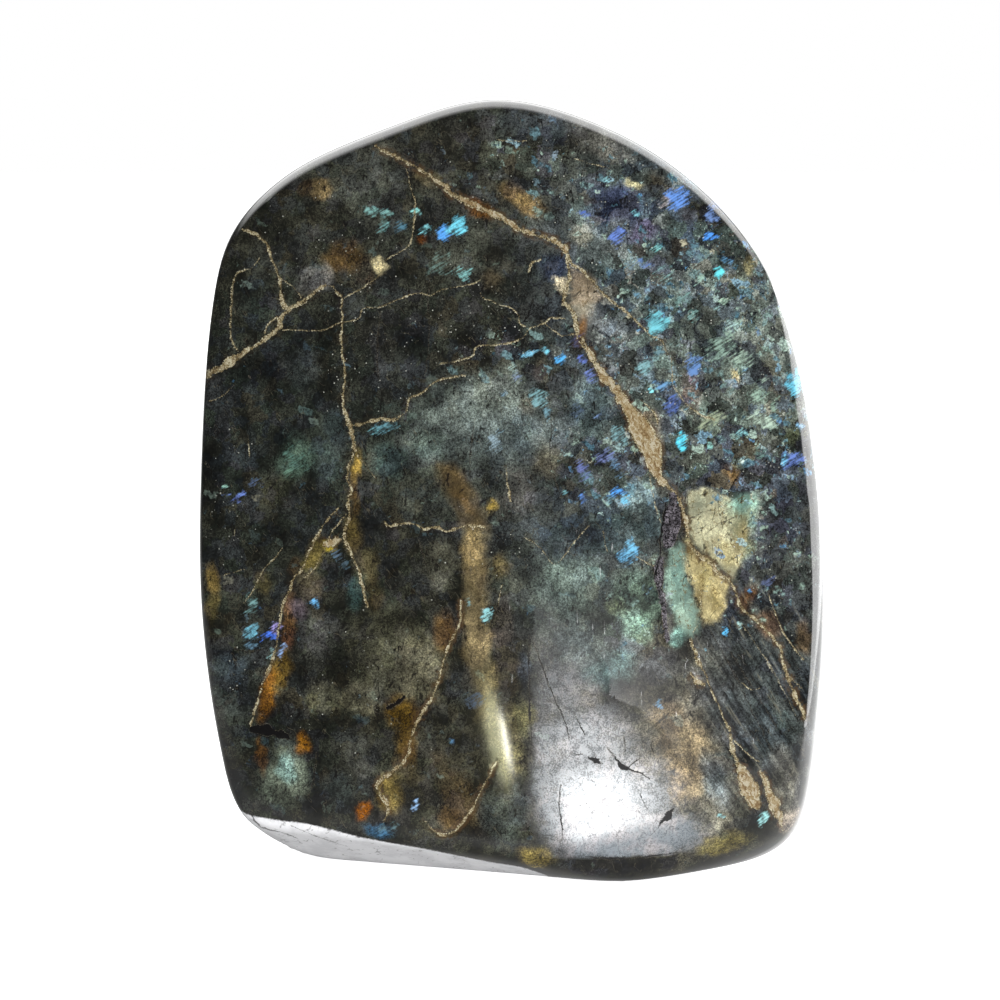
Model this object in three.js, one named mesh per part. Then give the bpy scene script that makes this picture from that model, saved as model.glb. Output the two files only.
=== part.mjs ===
// A polished labradorite freeform: one stone, ground and polished all round, standing on a flat cut base.
// Millimetres, +Z up. The show face looks along -Y.
// The origin is under the middle of the stone, on the plane it stands on.
import * as THREE from "three";
import { mergeVertices } from "three/addons/utils/BufferGeometryUtils.js";

// Driving dimensions
const baseDepth = 66; // front to back at the base, before the edges are rounded
const faceLean = 9; // degrees by which the show face leans back as it rises
const backLean = 6; // degrees by which the back leans forward above the shoulder
const shoulderHeight = 58;
const middle = { x: 0, z: 72 }; // the stone is shaped along rays from here
const widestShare = 0.55; // share of the depth at which a bulging side is widest
const baseEdge = 3; // rounding where the sides meet the base
const backEdge = 20; // rounding where the sides meet the back

// The rim of the show face, clockwise from the crown, seen from the front. bulge is how far the side
// swells out behind the rim, taper how far it has drawn in at the back, and edge the rim's rounding.
const rim = [
  { x: -2, z: 148.5, bulge: 1.6, taper: 7, edge: 5 },
  { x: 19, z: 142.7, bulge: 1.6, taper: 7, edge: 5 },
  { x: 36, z: 131.5, bulge: 1.8, taper: 7, edge: 4.5 },
  { x: 48.5, z: 116.3, bulge: 2.2, taper: 6, edge: 4 },
  { x: 54.3, z: 97.7, bulge: 3.4, taper: 4, edge: 3.5 },
  { x: 56.8, z: 74, bulge: 5.6, taper: 2, edge: 3 },
  { x: 57.6, z: 49, bulge: 6.8, taper: 2, edge: 3 },
  { x: 55.8, z: 24, bulge: 6.8, taper: 3, edge: 4 },
  { x: 52.5, z: 7.2, bulge: 4.6, taper: 4, edge: 8 },
  { x: 37.5, z: -2, bulge: 2, taper: 6, edge: 12 },
  { x: 5, z: -10, bulge: 0, taper: 6, edge: 12 },
  { x: -30, z: -6, bulge: 0, taper: 6, edge: 6 },
  { x: -45.5, z: 4.2, bulge: 0, taper: 8, edge: 4 },
  { x: -51.8, z: 14.6, bulge: 0, taper: 9, edge: 4 },
  { x: -55.3, z: 27, bulge: 0, taper: 10, edge: 4 },
  { x: -59.3, z: 52, bulge: 0, taper: 12, edge: 4 },
  { x: -60.1, z: 80, bulge: 0, taper: 12, edge: 4 },
  { x: -58, z: 104.5, bulge: 0.5, taper: 10, edge: 4 },
  { x: -53.5, z: 122, bulge: 1, taper: 9, edge: 4.5 },
  { x: -42.7, z: 133.2, bulge: 1.4, taper: 8, edge: 5 },
  { x: -24, z: 142, bulge: 1.6, taper: 7, edge: 5 },
];

// Flats ground on the stone. right and up turn each one away from facing straight forward or back, in
// degrees; through is a point on it, and blend is how softly it runs into the rest.
const frontFlats = [
  { right: -7, up: 7.2, through: [-40, -17.8, 69], blend: 0.8 }, // left of the ridge
  { right: 9, up: 10, through: [42, -15.5, 95], blend: 12 }, // upper right
  { right: 8, up: -42, through: [20, -30.3, 4.2], blend: 6 }, // turning under, right of the ridge
  { right: 26, up: -30, through: [43, -26, 6.5], blend: 9 }, // the lower right corner
  { right: -6, up: 15, through: [-22, -11.5, 128], blend: 14 }, // under the crown, left
];
const backFlats = [
  { right: 20, up: 0, through: [42, 28, 45], blend: 20 },
  { right: -24, up: 2, through: [-36, 28, 45], blend: 20 },
  { right: 3, up: 20, through: [0, 25, 122], blend: 20 },
  { right: -4, up: -12, through: [0, 32, 12], blend: 16 },
];
const lowBevels = [
  { right: -17, up: -59, through: [-33, -27.8, 11.6], blend: 1.8 }, // above the base at the left
  { right: -64, up: -48, through: [-51, -27.4, 15.5], blend: 3 }, // at its outer corner
];

// Grinding leaves slow waves in the polish.
const waves = {
  height: 0.22,
  broad: { x: 31, xShift: 0.7, z: 23, zShift: 0.4 },
  slanted: { length: 17, yShift: 1.1 },
};

// The surface is a grid like a box's, laid round the stone. These say how fine it is and how it lies.
const cells = { across: 28, deep: 16, up: 34 };
const gridCorners = {
  lowerLeft: new THREE.Vector2(-52, 15),
  upperLeft: new THREE.Vector2(-46, 130),
  upperRight: new THREE.Vector2(38, 128),
  lowerRight: new THREE.Vector2(45, 1),
};
const bevelRun = { x: 11, z: -13, depth: 0.4 }; // how the lower left corner shifts, behind the bevels
const crowding = 0.7; // how strongly the grid's lines crowd towards the rim
const backInset = 0.07; // share of the outline's radius at which the back's edge is sought
const reach = 130; // longer than any ray from the middle to the surface
const halvings = 34;
const rimSteps = 720;
const tolerance = 1e-3;

const slope = (degrees) => Math.tan(THREE.MathUtils.degToRad(degrees));
const faceDepth = (z) => -baseDepth / 2 + slope(faceLean) * z;
const backDepth = (z) => baseDepth / 2 - slope(backLean) * Math.max(z - shoulderHeight, 0);

function smoothMax(a, b, blend) {
  const overlap = Math.max(blend - Math.abs(a - b), 0) / blend;
  return Math.max(a, b) + (overlap * overlap * blend) / 4;
}

// The furthest distance that is still inside, between one that is inside and one that is outside.
function furthest(isInside, inside, outside) {
  for (let i = 0; i < halvings; i++) {
    const between = (inside + outside) / 2;
    if (isInside(between)) inside = between;
    else outside = between;
  }
  return inside;
}

// A ground flat as a plane: facing is -1 on the front and 1 on the back.
function ground(flat, facing) {
  const right = THREE.MathUtils.degToRad(flat.right);
  const up = THREE.MathUtils.degToRad(flat.up);
  const normal = new THREE.Vector3(
    Math.sin(right) * Math.cos(up),
    facing * Math.cos(right) * Math.cos(up),
    Math.sin(up),
  );
  return { normal, offset: normal.dot(new THREE.Vector3(...flat.through)), blend: flat.blend };
}

// The rim as a closed curve, read by angle round the middle.
function rimReader() {
  const curveOf = (key) =>
    new THREE.CatmullRomCurve3(
      rim.map((station) => new THREE.Vector3(station.x, station.z, station[key])),
      true,
      "centripetal",
    ).getPoints(rimSteps);
  const tapers = curveOf("taper");
  const edges = curveOf("edge");
  const samples = curveOf("bulge").map((p, i) => ({
    angle: Math.atan2(p.y - middle.z, p.x - middle.x),
    radius: Math.hypot(p.x - middle.x, p.y - middle.z),
    bulge: p.z,
    taper: tapers[i].z,
    edge: edges[i].z,
  }));
  samples.sort((a, b) => a.angle - b.angle);
  const last = samples[samples.length - 1];
  samples.push({ ...samples[0], angle: samples[0].angle + 2 * Math.PI });
  samples.unshift({ ...last, angle: last.angle - 2 * Math.PI });
  return (angle) => {
    let low = 0;
    let high = samples.length - 1;
    while (high - low > 1) {
      const half = (low + high) >> 1;
      if (samples[half].angle <= angle) low = half;
      else high = half;
    }
    const [a, b] = [samples[low], samples[high]];
    const share = (angle - a.angle) / (b.angle - a.angle || 1);
    const between = (key) => THREE.MathUtils.lerp(a[key], b[key], share);
    return {
      radius: between("radius"),
      bulge: between("bulge"),
      taper: between("taper"),
      edge: between("edge"),
    };
  };
}

const front = frontFlats.map((flat) => ground(flat, -1));
const back = backFlats.map((flat) => ground(flat, 1));
const bevels = lowBevels.map((flat) => ground(flat, -1));
const rimAt = rimReader();

const angleOf = (point) => Math.atan2(point.z - middle.z, point.x - middle.x);
const pastPlane = (plane, point) => plane.normal.dot(point) - plane.offset;
const cutBy = (planes, point, past) =>
  planes.reduce((sum, plane) => smoothMax(sum, pastPlane(plane, point), plane.blend), past);

// Each of these is how far a point lies outside one surface of the stone, less than zero inside it.
function pastFace(point) {
  const past = (faceDepth(point.z) - point.y) / Math.hypot(1, slope(faceLean));
  return cutBy(front, point, past);
}

function pastBack(point) {
  const past = point.y - backDepth(point.z);
  return cutBy(back, point, past);
}

function pastSide(point, station) {
  const share = (point.y - faceDepth(point.z)) / (backDepth(point.z) - faceDepth(point.z));
  const swell = Math.max(1 - ((share - widestShare) / widestShare) ** 2, -1);
  const radius = station.radius + station.bulge * swell - station.taper * Math.max(share, 0);
  return Math.hypot(point.x - middle.x, point.z - middle.z) - radius;
}

// The whole stone: its surfaces run into each other, and the base cuts them off.
function pastStone(point) {
  const station = rimAt(angleOf(point));
  let past = smoothMax(pastSide(point, station), pastBack(point), backEdge);
  past = smoothMax(past, pastFace(point), station.edge);
  past = cutBy(bevels, point, past);
  const { x, y, z } = point;
  const { height, broad, slanted } = waves;
  const across = Math.sin(x / broad.x + broad.xShift) * Math.sin(z / broad.z + broad.zShift);
  const along = Math.sin((x + z) / slanted.length) * Math.sin(y / slanted.length + slanted.yShift);
  return smoothMax(past + height * (across + along), -z, baseEdge);
}

function pointAt(angle, radius, y) {
  return new THREE.Vector3(middle.x + radius * Math.cos(angle), y, middle.z + radius * Math.sin(angle));
}

function onFace(angle, radius) {
  const isInside = (depth) => pastFace(pointAt(angle, radius, -depth)) < 0;
  return pointAt(angle, radius, -furthest(isInside, 0, baseDepth));
}

// Where the show face ends in one direction: at a side, at the bevel or at the base.
function faceRadius(angle) {
  const isInside = (radius) => {
    const point = onFace(angle, radius);
    const pastBevels = bevels.map((plane) => pastPlane(plane, point));
    return Math.max(pastSide(point, rimAt(angle)), -point.z, ...pastBevels) < 0;
  };
  return furthest(isInside, 0, reach);
}

// Where the sides end at the back, in one direction.
function sideEnd(angle, radius) {
  const sought = radius * (1 - backInset * (1 + Math.sin(angle)));
  return furthest((y) => pastBack(pointAt(angle, sought, y)) < 0, 0, baseDepth);
}

// The direction round the middle in which a place on the grid's face lies.
function gridAngle(across, deep, up) {
  const { lowerLeft, upperLeft, upperRight, lowerRight } = gridCorners;
  const run = Math.min((deep + 1) / 2 / bevelRun.depth, 1);
  const lowLeft = new THREE.Vector2(bevelRun.x, bevelRun.z).multiplyScalar(run).add(lowerLeft);
  const toRim = 1 / Math.max(Math.abs(across), Math.abs(up));
  const rightShare = (across * toRim + 1) / 2;
  const upShare = (up * toRim + 1) / 2;
  const low = lowLeft.lerp(lowerRight, rightShare);
  const high = upperLeft.clone().lerp(upperRight, rightShare);
  const place = low.lerp(high, upShare);
  return Math.atan2(place.y - middle.z, place.x - middle.x);
}

// The place that a ray for one grid point is aimed at, close to the surface.
function aimFor(across, deep, up) {
  const share = Math.max(Math.abs(across), Math.abs(up));
  if (share === 0) return pointAt(0, 0, deep * baseDepth);
  const angle = gridAngle(across, deep, up);
  const radius = faceRadius(angle);
  if (deep === -1) return onFace(angle, radius * share);
  const end = sideEnd(angle, radius);
  if (deep === 1) return pointAt(angle, radius * share, end);
  const start = onFace(angle, radius).y;
  return pointAt(angle, radius, THREE.MathUtils.lerp(start, end, ((deep + 1) / 2) ** (1 + crowding)));
}

// A grid like a box's, drawn onto the stone along rays from its middle, with the box's edges on the rim.
function stoneGeometry() {
  const start = new THREE.Vector3(middle.x, 0, middle.z);
  const geometry = new THREE.BoxGeometry(2, 2, 2, cells.across, cells.deep, cells.up);
  geometry.deleteAttribute("normal");
  geometry.deleteAttribute("uv");
  const position = geometry.getAttribute("position");
  const crowded = (share) => THREE.MathUtils.lerp(share, Math.sin((share * Math.PI) / 2), crowding);
  for (let i = 0; i < position.count; i++) {
    const aim = aimFor(crowded(position.getX(i)), position.getY(i), crowded(position.getZ(i)));
    const direction = aim.sub(start).normalize();
    const along = (distance) => start.clone().addScaledVector(direction, distance);
    const { x, y, z } = along(furthest((distance) => pastStone(along(distance)) < 0, 0, reach));
    position.setXYZ(i, x, y, Math.abs(z) < tolerance ? 0 : z);
  }
  const merged = mergeVertices(geometry, tolerance);
  merged.computeBoundingBox();
  const { min, max } = merged.boundingBox;
  merged.translate(-(min.x + max.x) / 2, -(min.y + max.y) / 2, 0);
  merged.computeVertexNormals();
  return merged;
}

const polishedLabradorite = new THREE.MeshStandardMaterial({
  color: 0x3a3f3a,
  roughness: 0.12,
  metalness: 0,
});

const stone = new THREE.Mesh(stoneGeometry(), polishedLabradorite);
stone.name = "labradorite_stone";

const part = new THREE.Group();
part.add(stone);

export default part;
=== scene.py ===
import math

import bmesh
import bpy
import numpy as np
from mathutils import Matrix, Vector, noise
from mathutils.bvhtree import BVHTree


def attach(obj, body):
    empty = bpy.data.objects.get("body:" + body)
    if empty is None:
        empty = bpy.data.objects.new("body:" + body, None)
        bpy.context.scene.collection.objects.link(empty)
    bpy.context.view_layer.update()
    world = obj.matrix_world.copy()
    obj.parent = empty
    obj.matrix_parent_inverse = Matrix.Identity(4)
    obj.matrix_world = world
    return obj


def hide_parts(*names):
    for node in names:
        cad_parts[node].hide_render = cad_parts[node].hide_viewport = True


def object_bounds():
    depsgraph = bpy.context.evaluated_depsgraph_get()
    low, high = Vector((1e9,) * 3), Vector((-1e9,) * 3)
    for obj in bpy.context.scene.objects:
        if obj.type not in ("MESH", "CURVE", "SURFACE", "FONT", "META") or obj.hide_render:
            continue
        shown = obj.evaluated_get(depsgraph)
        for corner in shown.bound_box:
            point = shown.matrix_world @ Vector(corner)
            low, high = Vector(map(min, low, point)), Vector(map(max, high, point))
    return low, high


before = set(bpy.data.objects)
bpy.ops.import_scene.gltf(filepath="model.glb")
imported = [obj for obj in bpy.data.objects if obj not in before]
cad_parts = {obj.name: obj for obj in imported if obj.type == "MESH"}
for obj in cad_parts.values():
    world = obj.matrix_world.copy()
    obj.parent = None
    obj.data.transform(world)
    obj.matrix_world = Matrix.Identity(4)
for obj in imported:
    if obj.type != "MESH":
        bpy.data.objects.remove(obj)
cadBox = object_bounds()
scene = bpy.context.scene
mm = 0.001

stone = {
    "held": 0.53,            # the studio lights the stone about twice as bright as paper
    "contrast": 0.24,        # how much further the pale parts of the body stand off from the dark ones
    "weld": 2e-6,            # m between points of the form that are one point
    "flatAngles": (0.35, 1.2),   # radians between triangles, and out of square, that still make one face
    "creaseAngle": 24,       # degrees between faces, past which an edge stays crisp
    "creaseHold": 0.55,
    "backLevels": 1,         # rounding on the back and sides
    "faceCuts": 3,           # further cuts across each face of the show side
    "smoothLevels": 3,       # rounding of the form that every point is laid on
    "showFacing": -0.5,      # how far a face turns to the front to count as the show side
    "flatBase": 0.3,         # mm above the base that still counts as the base
    "frontSlope": 0.176,     # how the show face leans back as it rises
    "frontFoot": -31.6,      # mm, where the show face would meet the table
    "veinLean": (0.34, -0.22),   # how fractures drift across and up as they run back through the stone
    "leanFrom": 8,           # mm behind the show face where that drift starts
    "frontFade": (9, 18),    # mm behind it over which the markings of the face give way to those of the sides
}


def say(text):
    print("labradorite:", text)


def linear(red, green, blue):  # a colour picked on a 0-255 scale, as Blender's linear values
    parts = np.array([red, green, blue]) / 255
    return np.where(parts < 0.04045, parts / 12.92, ((parts + 0.055) / 1.055) ** 2.4)


def paint(*shade):  # colours of the stone are picked as they look lit, so they are held down here
    return linear(*shade) * stone["held"]


def muted(shade, amount):  # a painted colour drawn towards its own grey, or away from it by a minus amount
    colour = paint(*shade)
    return colour + (colour.mean() - colour) * amount


def ease(low, high, value):  # 0 below low, 1 above high, smooth between
    part = np.clip((value - low) / (high - low), 0, 1)
    return part * part * (3 - 2 * part)


def meshOf(shell, name):
    mesh = bpy.data.meshes.new(name)
    shell.to_mesh(mesh)
    shell.free()
    return mesh


def placed(name, data):
    item = bpy.data.objects.new(name, data)
    scene.collection.objects.link(item)
    return item


def mergedCopy(node):  # the CAD form with its triangles joined into larger faces and its crisp edges marked
    shell = bmesh.new()
    shell.from_mesh(node.data)
    bmesh.ops.remove_doubles(shell, verts=shell.verts, dist=stone["weld"])
    flat, square = stone["flatAngles"]
    limits = {"angle_face_threshold": flat, "angle_shape_threshold": square}
    bmesh.ops.join_triangles(shell, faces=shell.faces, **limits)
    crease = shell.edges.layers.float.get("crease_edge") or shell.edges.layers.float.new("crease_edge")
    limit = math.radians(stone["creaseAngle"])
    for edge in shell.edges:
        if edge.is_manifold and edge.calc_face_angle(0) > limit:
            edge[crease] = stone["creaseHold"]
    return meshOf(shell, "polishedStone")


def rounded(coarse, levels):
    form = placed("roundedForm", coarse.copy())
    rounding = form.modifiers.new("rounding", "SUBSURF")
    rounding.levels = levels
    rounding.render_levels = levels
    mesh = bpy.data.meshes.new_from_object(form.evaluated_get(bpy.context.evaluated_depsgraph_get()))
    bpy.data.objects.remove(form)
    shell = bmesh.new()
    shell.from_mesh(mesh)
    return shell


def smoothedStone(node):  # fine on the show side, where the markings are, and coarser behind
    coarse = mergedCopy(node)
    form = rounded(coarse, stone["smoothLevels"])
    surface = BVHTree.FromBMesh(form)
    form.free()
    shell = rounded(coarse, stone["backLevels"])
    shell.normal_update()
    shown = {edge for face in shell.faces if face.normal.y < stone["showFacing"] for edge in face.edges}
    bmesh.ops.subdivide_edges(shell, edges=list(shown), cuts=stone["faceCuts"], use_grid_fill=True)
    for vert in shell.verts:
        vert.co = surface.find_nearest(vert.co)[0]
    return placed("polishedStone", meshOf(shell, "polishedStone"))


def readVectors(items, name):
    flat = np.zeros(len(items) * 3, np.float32)
    items.foreach_get(name, flat)
    return flat.reshape(-1, 3).astype(float)


def writePoints(points):  # inside the box of the CAD form, with a flat base
    points = np.clip(points, *(np.array(corner) / mm for corner in cadBox))
    points[onBase, 2] = 0
    mesh.vertices.foreach_set("co", (points * mm).astype(np.float32).ravel())
    mesh.update()
    return points


piece = smoothedStone(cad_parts["labradorite_stone"])
mesh = piece.data
points = readVectors(mesh.vertices, "co") / mm
normals = readVectors(mesh.vertex_normals, "vector")
onBase = points[:, 2] < stone["flatBase"]
points = writePoints(points)
mesh.polygons.foreach_set("use_smooth", [True] * len(mesh.polygons))
mesh.calc_loop_triangles()
say("%d points and %d triangles on the stone" % (len(mesh.vertices), len(mesh.loop_triangles)))

# Where each point lies on the sheet that the markings are drawn on: the show face itself in front, drifting
# as it goes back, so that a fracture leaves the face, crosses the side and comes out behind.
depth = points[:, 1] - (stone["frontFoot"] + stone["frontSlope"] * points[:, 2])
drift = np.maximum(depth - stone["leanFrom"], 0)
across = points[:, 0] + stone["veinLean"][0] * drift
up = points[:, 2] + stone["veinLean"][1] * drift
front = 1 - ease(*stone["frontFade"], depth)


def waver(size, seed):  # smooth noise at every point, about -1 to 1
    shift = Vector((seed * 7.3, seed * 3.1, seed * 5.7))
    return np.array([noise.noise(Vector(point) / size + shift) for point in points])


say("reading the wander of the markings")
wanderAcross = 0.9 * waver(3.5, 1) + 0.6 * waver(1.3, 2)
wanderUp = 0.9 * waver(3.5, 3) + 0.6 * waver(1.3, 4)

# each fracture: its kind, and points along it as across, up and half width in mm
fractures = [
    # the crown and the upper left network
    ("gold", [(-27, 138, 0.3), (-20, 134.5, 0.3), (-15, 131.5, 0.35), (-11.5, 128.5, 0.45), (-8, 127, 0.6),
        (-3, 124.5, 0.5), (0.5, 122.5, 0.4), (5, 121, 0.4), (8, 119.7, 0.6), (9.3, 118, 0.5)]),
    ("cream", [(-52, 122.5, 0.3), (-47.7, 120.4, 0.45), (-46, 116.5, 0.35), (-44.7, 113.2, 0.4),
        (-44.5, 110, 0.45), (-43.5, 107.5, 0.8)]),
    ("hair", [(-48.5, 117.3, 0.15), (-50, 115.3, 0.15), (-53, 114, 0.2), (-53.8, 110, 0.3),
        (-54, 105, 0.35), (-53.9, 102, 0.35), (-52.5, 99.8, 0.4)]),
    ("cream", [(-42.9, 107.7, 0.5), (-44.3, 106.3, 0.7), (-45, 104.2, 0.75), (-47, 102.4, 0.6),
        (-49, 101, 0.4), (-51.2, 99.8, 0.5), (-53.4, 98.3, 1.0), (-55.2, 97, 1.0), (-57.5, 95.9, 1.0),
        (-60, 94.5, 0.9)]),
    ("hair", [(-45, 106.5, 0.3), (-47, 104.6, 0.35), (-47.6, 102.8, 0.3)]),
    ("cream", [(-43.2, 107.5, 0.5), (-40.6, 109, 0.5), (-38, 110.8, 0.5), (-36, 112, 0.35),
        (-34.7, 112, 0.25), (-34, 111, 0.2), (-32.7, 109.8, 0.3)]),
    ("hair", [(-32.7, 109.8, 0.3), (-30, 111.2, 0.25), (-27.5, 112.8, 0.25), (-25.6, 114.3, 0.3)]),
    ("hair", [(-44.6, 113.4, 0.15), (-42, 111.6, 0.15), (-40.6, 109.6, 0.2)]),
    ("hair", [(-25, 116.8, 0.2), (-23, 117.8, 0.2), (-20.5, 119.5, 0.2), (-19.8, 122, 0.25),
        (-19.4, 125, 0.35), (-19.4, 128, 0.3), (-20.2, 130.5, 0.2), (-21, 134, 0.15)]),
    ("hair", [(-58, 90.3, 0.2), (-55.5, 91.5, 0.15), (-53, 93.8, 0.15)]),
    ("hair", [(-44.5, 103.8, 0.2), (-37, 103.8, 0.2), (-33.7, 105.1, 0.2), (-29.8, 106, 0.2),
        (-29, 107.9, 0.2), (-25.5, 108.3, 0.25), (-22.2, 109.7, 0.25), (-18.7, 110.8, 0.25),
        (-16.5, 110.4, 0.3), (-14, 111.5, 0.25), (-8.3, 112.5, 0.2), (-6.8, 113.5, 0.15)]),
    ("cream", [(-33, 110, 0.25), (-33, 105, 0.25), (-33, 100.5, 0.25), (-32.4, 96, 0.3),
        (-32.8, 90.5, 0.25), (-32, 87.8, 0.5), (-31.2, 85.5, 0.8), (-30.8, 83.5, 0.6), (-30.4, 81.4, 0.4)]),
    ("cream", [(-31, 86.2, 0.3), (-28.5, 86.9, 0.35), (-25.7, 87.5, 0.4), (-23.1, 87.4, 0.35),
        (-20.8, 89, 0.25), (-20.4, 91.2, 0.25), (-17.7, 92.5, 0.25), (-16, 94.2, 0.2), (-13, 95.3, 0.2),
        (-9.6, 95.6, 0.2)]),
    ("hair", [(-15, 97.7, 0.15), (-11.6, 98.3, 0.2), (-8.6, 99.2, 0.25), (-7.7, 101, 0.25),
        (-3.2, 101.3, 0.25), (0.8, 102.6, 0.25), (2.1, 104.3, 0.25), (4.8, 105.2, 0.25), (6.1, 106.2, 0.25),
        (9, 106.1, 0.2)]),
    ("hair", [(-7.2, 111.5, 0.15), (-6.7, 110, 0.2), (-5.2, 109.5, 0.2), (-3.4, 108.6, 0.2),
        (-1.2, 108, 0.2), (0, 106.8, 0.15), (0.4, 105, 0.2), (2, 104.4, 0.15)]),
    ("hair", [(4.8, 105.2, 0.15), (6.6, 104, 0.2), (8.3, 102.9, 0.2), (10.6, 103.3, 0.2)]),
    ("hair", [(-4.5, 139.2, 0.12), (-1.7, 138.9, 0.15), (2, 138.9, 0.1)]),
    ("hair", [(10.5, 135.6, 0.15), (13, 134.9, 0.2), (17.5, 133.7, 0.2)]),
    # the fork on the right: a thin branch, and a gold body that widens as it comes down
    ("cream", [(9.3, 118, 0.5), (10.1, 116.1, 0.4), (12.3, 114.7, 0.4), (13.7, 113, 0.45),
        (15.5, 111, 0.45), (17.6, 109.2, 0.4), (21, 106.7, 0.35), (24.5, 103.2, 0.25), (26.4, 102.4, 0.25),
        (27.6, 100.4, 0.25), (28.8, 97.8, 0.2), (28.8, 94.5, 0.12), (30.2, 91.7, 0.2), (32, 89.8, 0.2),
        (34.3, 88.3, 0.25), (37, 87.1, 0.2)]),
    ("cream", [(9.2, 118, 0.5), (9.4, 116, 0.35), (9.5, 113.5, 0.5), (8.8, 111, 0.7), (8.6, 109.2, 0.5),
        (10.1, 107.2, 0.5), (10.9, 105, 0.6), (11, 103, 0.45), (12.4, 100.7, 0.4), (14, 98.2, 0.4),
        (15.8, 95.8, 0.5)]),
    ("gold", [(11.5, 103, 0.4), (14, 98.6, 0.55), (15.8, 95.8, 0.7), (17.6, 93.9, 0.8), (19.4, 91.2, 1.0),
        (21.4, 88.2, 1.4), (22.9, 85.3, 2.0), (24.6, 82.5, 2.0), (25.3, 80, 1.6), (25.8, 77.8, 1.1),
        (27, 75.8, 0.6), (28.7, 74.5, 0.4), (30.1, 72.5, 0.4), (31, 70, 0.4), (31.5, 67.5, 0.4),
        (31.5, 65.4, 0.5)]),
    ("hair", [(24.3, 78, 0.2), (24.9, 75, 0.2), (25.4, 72.5, 0.2), (26, 70, 0.2), (27.4, 67, 0.2)]),
    ("cream", [(22.6, 91.5, 0.15), (25.5, 88.5, 0.3), (26.2, 86, 0.3)]),
    ("gold", [(31.2, 65.4, 0.4), (33.1, 63.2, 0.35), (35.7, 61, 0.35), (37.4, 59, 0.3), (39.6, 57.5, 0.25),
        (40.7, 54.8, 0.2), (41.8, 52.5, 0.2), (44, 50.6, 0.2), (46.6, 48, 0.2), (48.8, 45.4, 0.2),
        (49.4, 42.5, 0.2), (50.4, 39.5, 0.35), (52.3, 35, 0.3), (54, 31, 0.2)]),
    ("hair", [(46.5, 55.5, 0.12), (47.9, 52, 0.2), (49.2, 48.5, 0.25), (51.3, 45.4, 0.25),
        (53.6, 42.7, 0.3)]),
    ("hair", [(49, 41.8, 0.12), (51, 39.6, 0.15), (53, 37.5, 0.15)]),
    ("hair", [(31.5, 63, 0.12), (31.7, 58, 0.15), (33.6, 55.5, 0.15), (34.2, 51, 0.15), (32.2, 47.8, 0.2)]),
    ("cream", [(32, 47.6, 0.35), (32.7, 45, 0.5), (33.3, 43.2, 0.5), (34.8, 40.6, 0.35), (35.7, 38, 0.25),
        (37, 35.4, 0.25), (38.4, 32.2, 0.3), (39.5, 29.8, 0.35), (39.8, 27, 0.6), (40.7, 24.5, 0.6)]),
    ("gold", [(40.9, 24.3, 0.5), (42.2, 21.6, 1.25), (43.2, 19, 1.5), (44.2, 16.8, 1.2), (45, 15.2, 0.4)]),
    ("gold", [(45.2, 22.8, 0.3), (46, 20.8, 0.45), (46.9, 18.4, 0.7), (48, 16, 1.0), (48.7, 14.2, 0.8),
        (49.6, 11.5, 0.25), (50.4, 9.6, 0.15)]),
    ("gold", [(31.9, 41.2, 0.25), (32.5, 39.9, 0.5), (33.6, 39.1, 0.4), (35, 38.6, 0.2)]),
    ("hair", [(40, 28.5, 0.2), (43, 25.6, 0.2), (45.2, 24, 0.15)]),
    ("hair", [(21.2, 62.7, 0.15), (23.7, 61.4, 0.2), (25.2, 60.6, 0.2), (30, 60.6, 0.12)]),
    # the porous lilac-grey seam between the fork and the pale crystal
    ("porous", [(28.8, 74, 0.7), (28.7, 71, 1.2), (28.6, 68, 1.3), (28, 65, 1.0), (27.4, 63.6, 0.3)]),
    ("porous", [(26.6, 62.3, 0.5), (26.2, 60, 0.9), (26.2, 57, 0.8), (26.8, 54, 0.55), (27.3, 51.5, 0.3),
        (27.6, 48.5, 0.5), (27.9, 46.4, 0.2)]),
    # the two long fractures of the lower left
    ("cream", [(-30.4, 81.4, 0.4), (-31.6, 79.2, 0.35), (-32, 77, 0.35), (-31.1, 74.5, 0.35),
        (-31.8, 72.2, 0.45), (-31.5, 70, 0.4), (-32.4, 66, 0.45), (-31.3, 63.3, 0.3), (-30, 60.4, 0.3),
        (-29.2, 57.5, 0.3), (-28.7, 55.2, 0.35), (-28, 52.8, 0.35)]),
    ("hair", [(-30.2, 81.2, 0.25), (-28.5, 79, 0.15), (-26.4, 76.4, 0.12)]),
    ("cream", [(-33.2, 71.3, 0.5), (-35.3, 69.2, 0.3), (-37, 66.8, 0.3), (-38.4, 64.2, 0.3),
        (-39.3, 62.3, 0.3), (-40.2, 59.8, 0.35), (-41.8, 58.3, 0.45), (-42.6, 56, 0.4), (-43.8, 53.5, 0.35),
        (-44.4, 51, 0.35), (-44.9, 48, 0.3), (-45.4, 44.5, 0.3), (-46.5, 41.4, 0.4), (-47.5, 38.9, 0.3),
        (-48.5, 35.8, 0.25), (-49.3, 33.2, 0.25), (-50.1, 30.3, 0.3)]),
    ("hair", [(-32, 70, 0.25), (-33.6, 68.2, 0.25), (-34.9, 66.5, 0.25), (-35.9, 63.6, 0.3),
        (-37.2, 61.2, 0.25), (-38.4, 59.4, 0.25), (-40.3, 57.8, 0.35)]),
    ("gold", [(-32.6, 65.6, 0.3), (-34, 65, 0.4), (-35.6, 64.3, 0.9), (-36.2, 63.8, 0.6)]),
    ("hair", [(-43.8, 64, 0.12), (-45.3, 61.9, 0.2), (-47.5, 59.6, 0.2), (-48.9, 56.9, 0.2),
        (-49.8, 55.2, 0.2), (-51.4, 53, 0.12)]),
    ("hair", [(-53.1, 67.6, 0.1), (-53.1, 65.2, 0.12)]),
    ("hair", [(-50.7, 84.8, 0.12), (-50.3, 79.5, 0.12)]),
    ("hair", [(-55.2, 58.2, 0.15), (-51, 59.6, 0.12)]),
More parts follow.
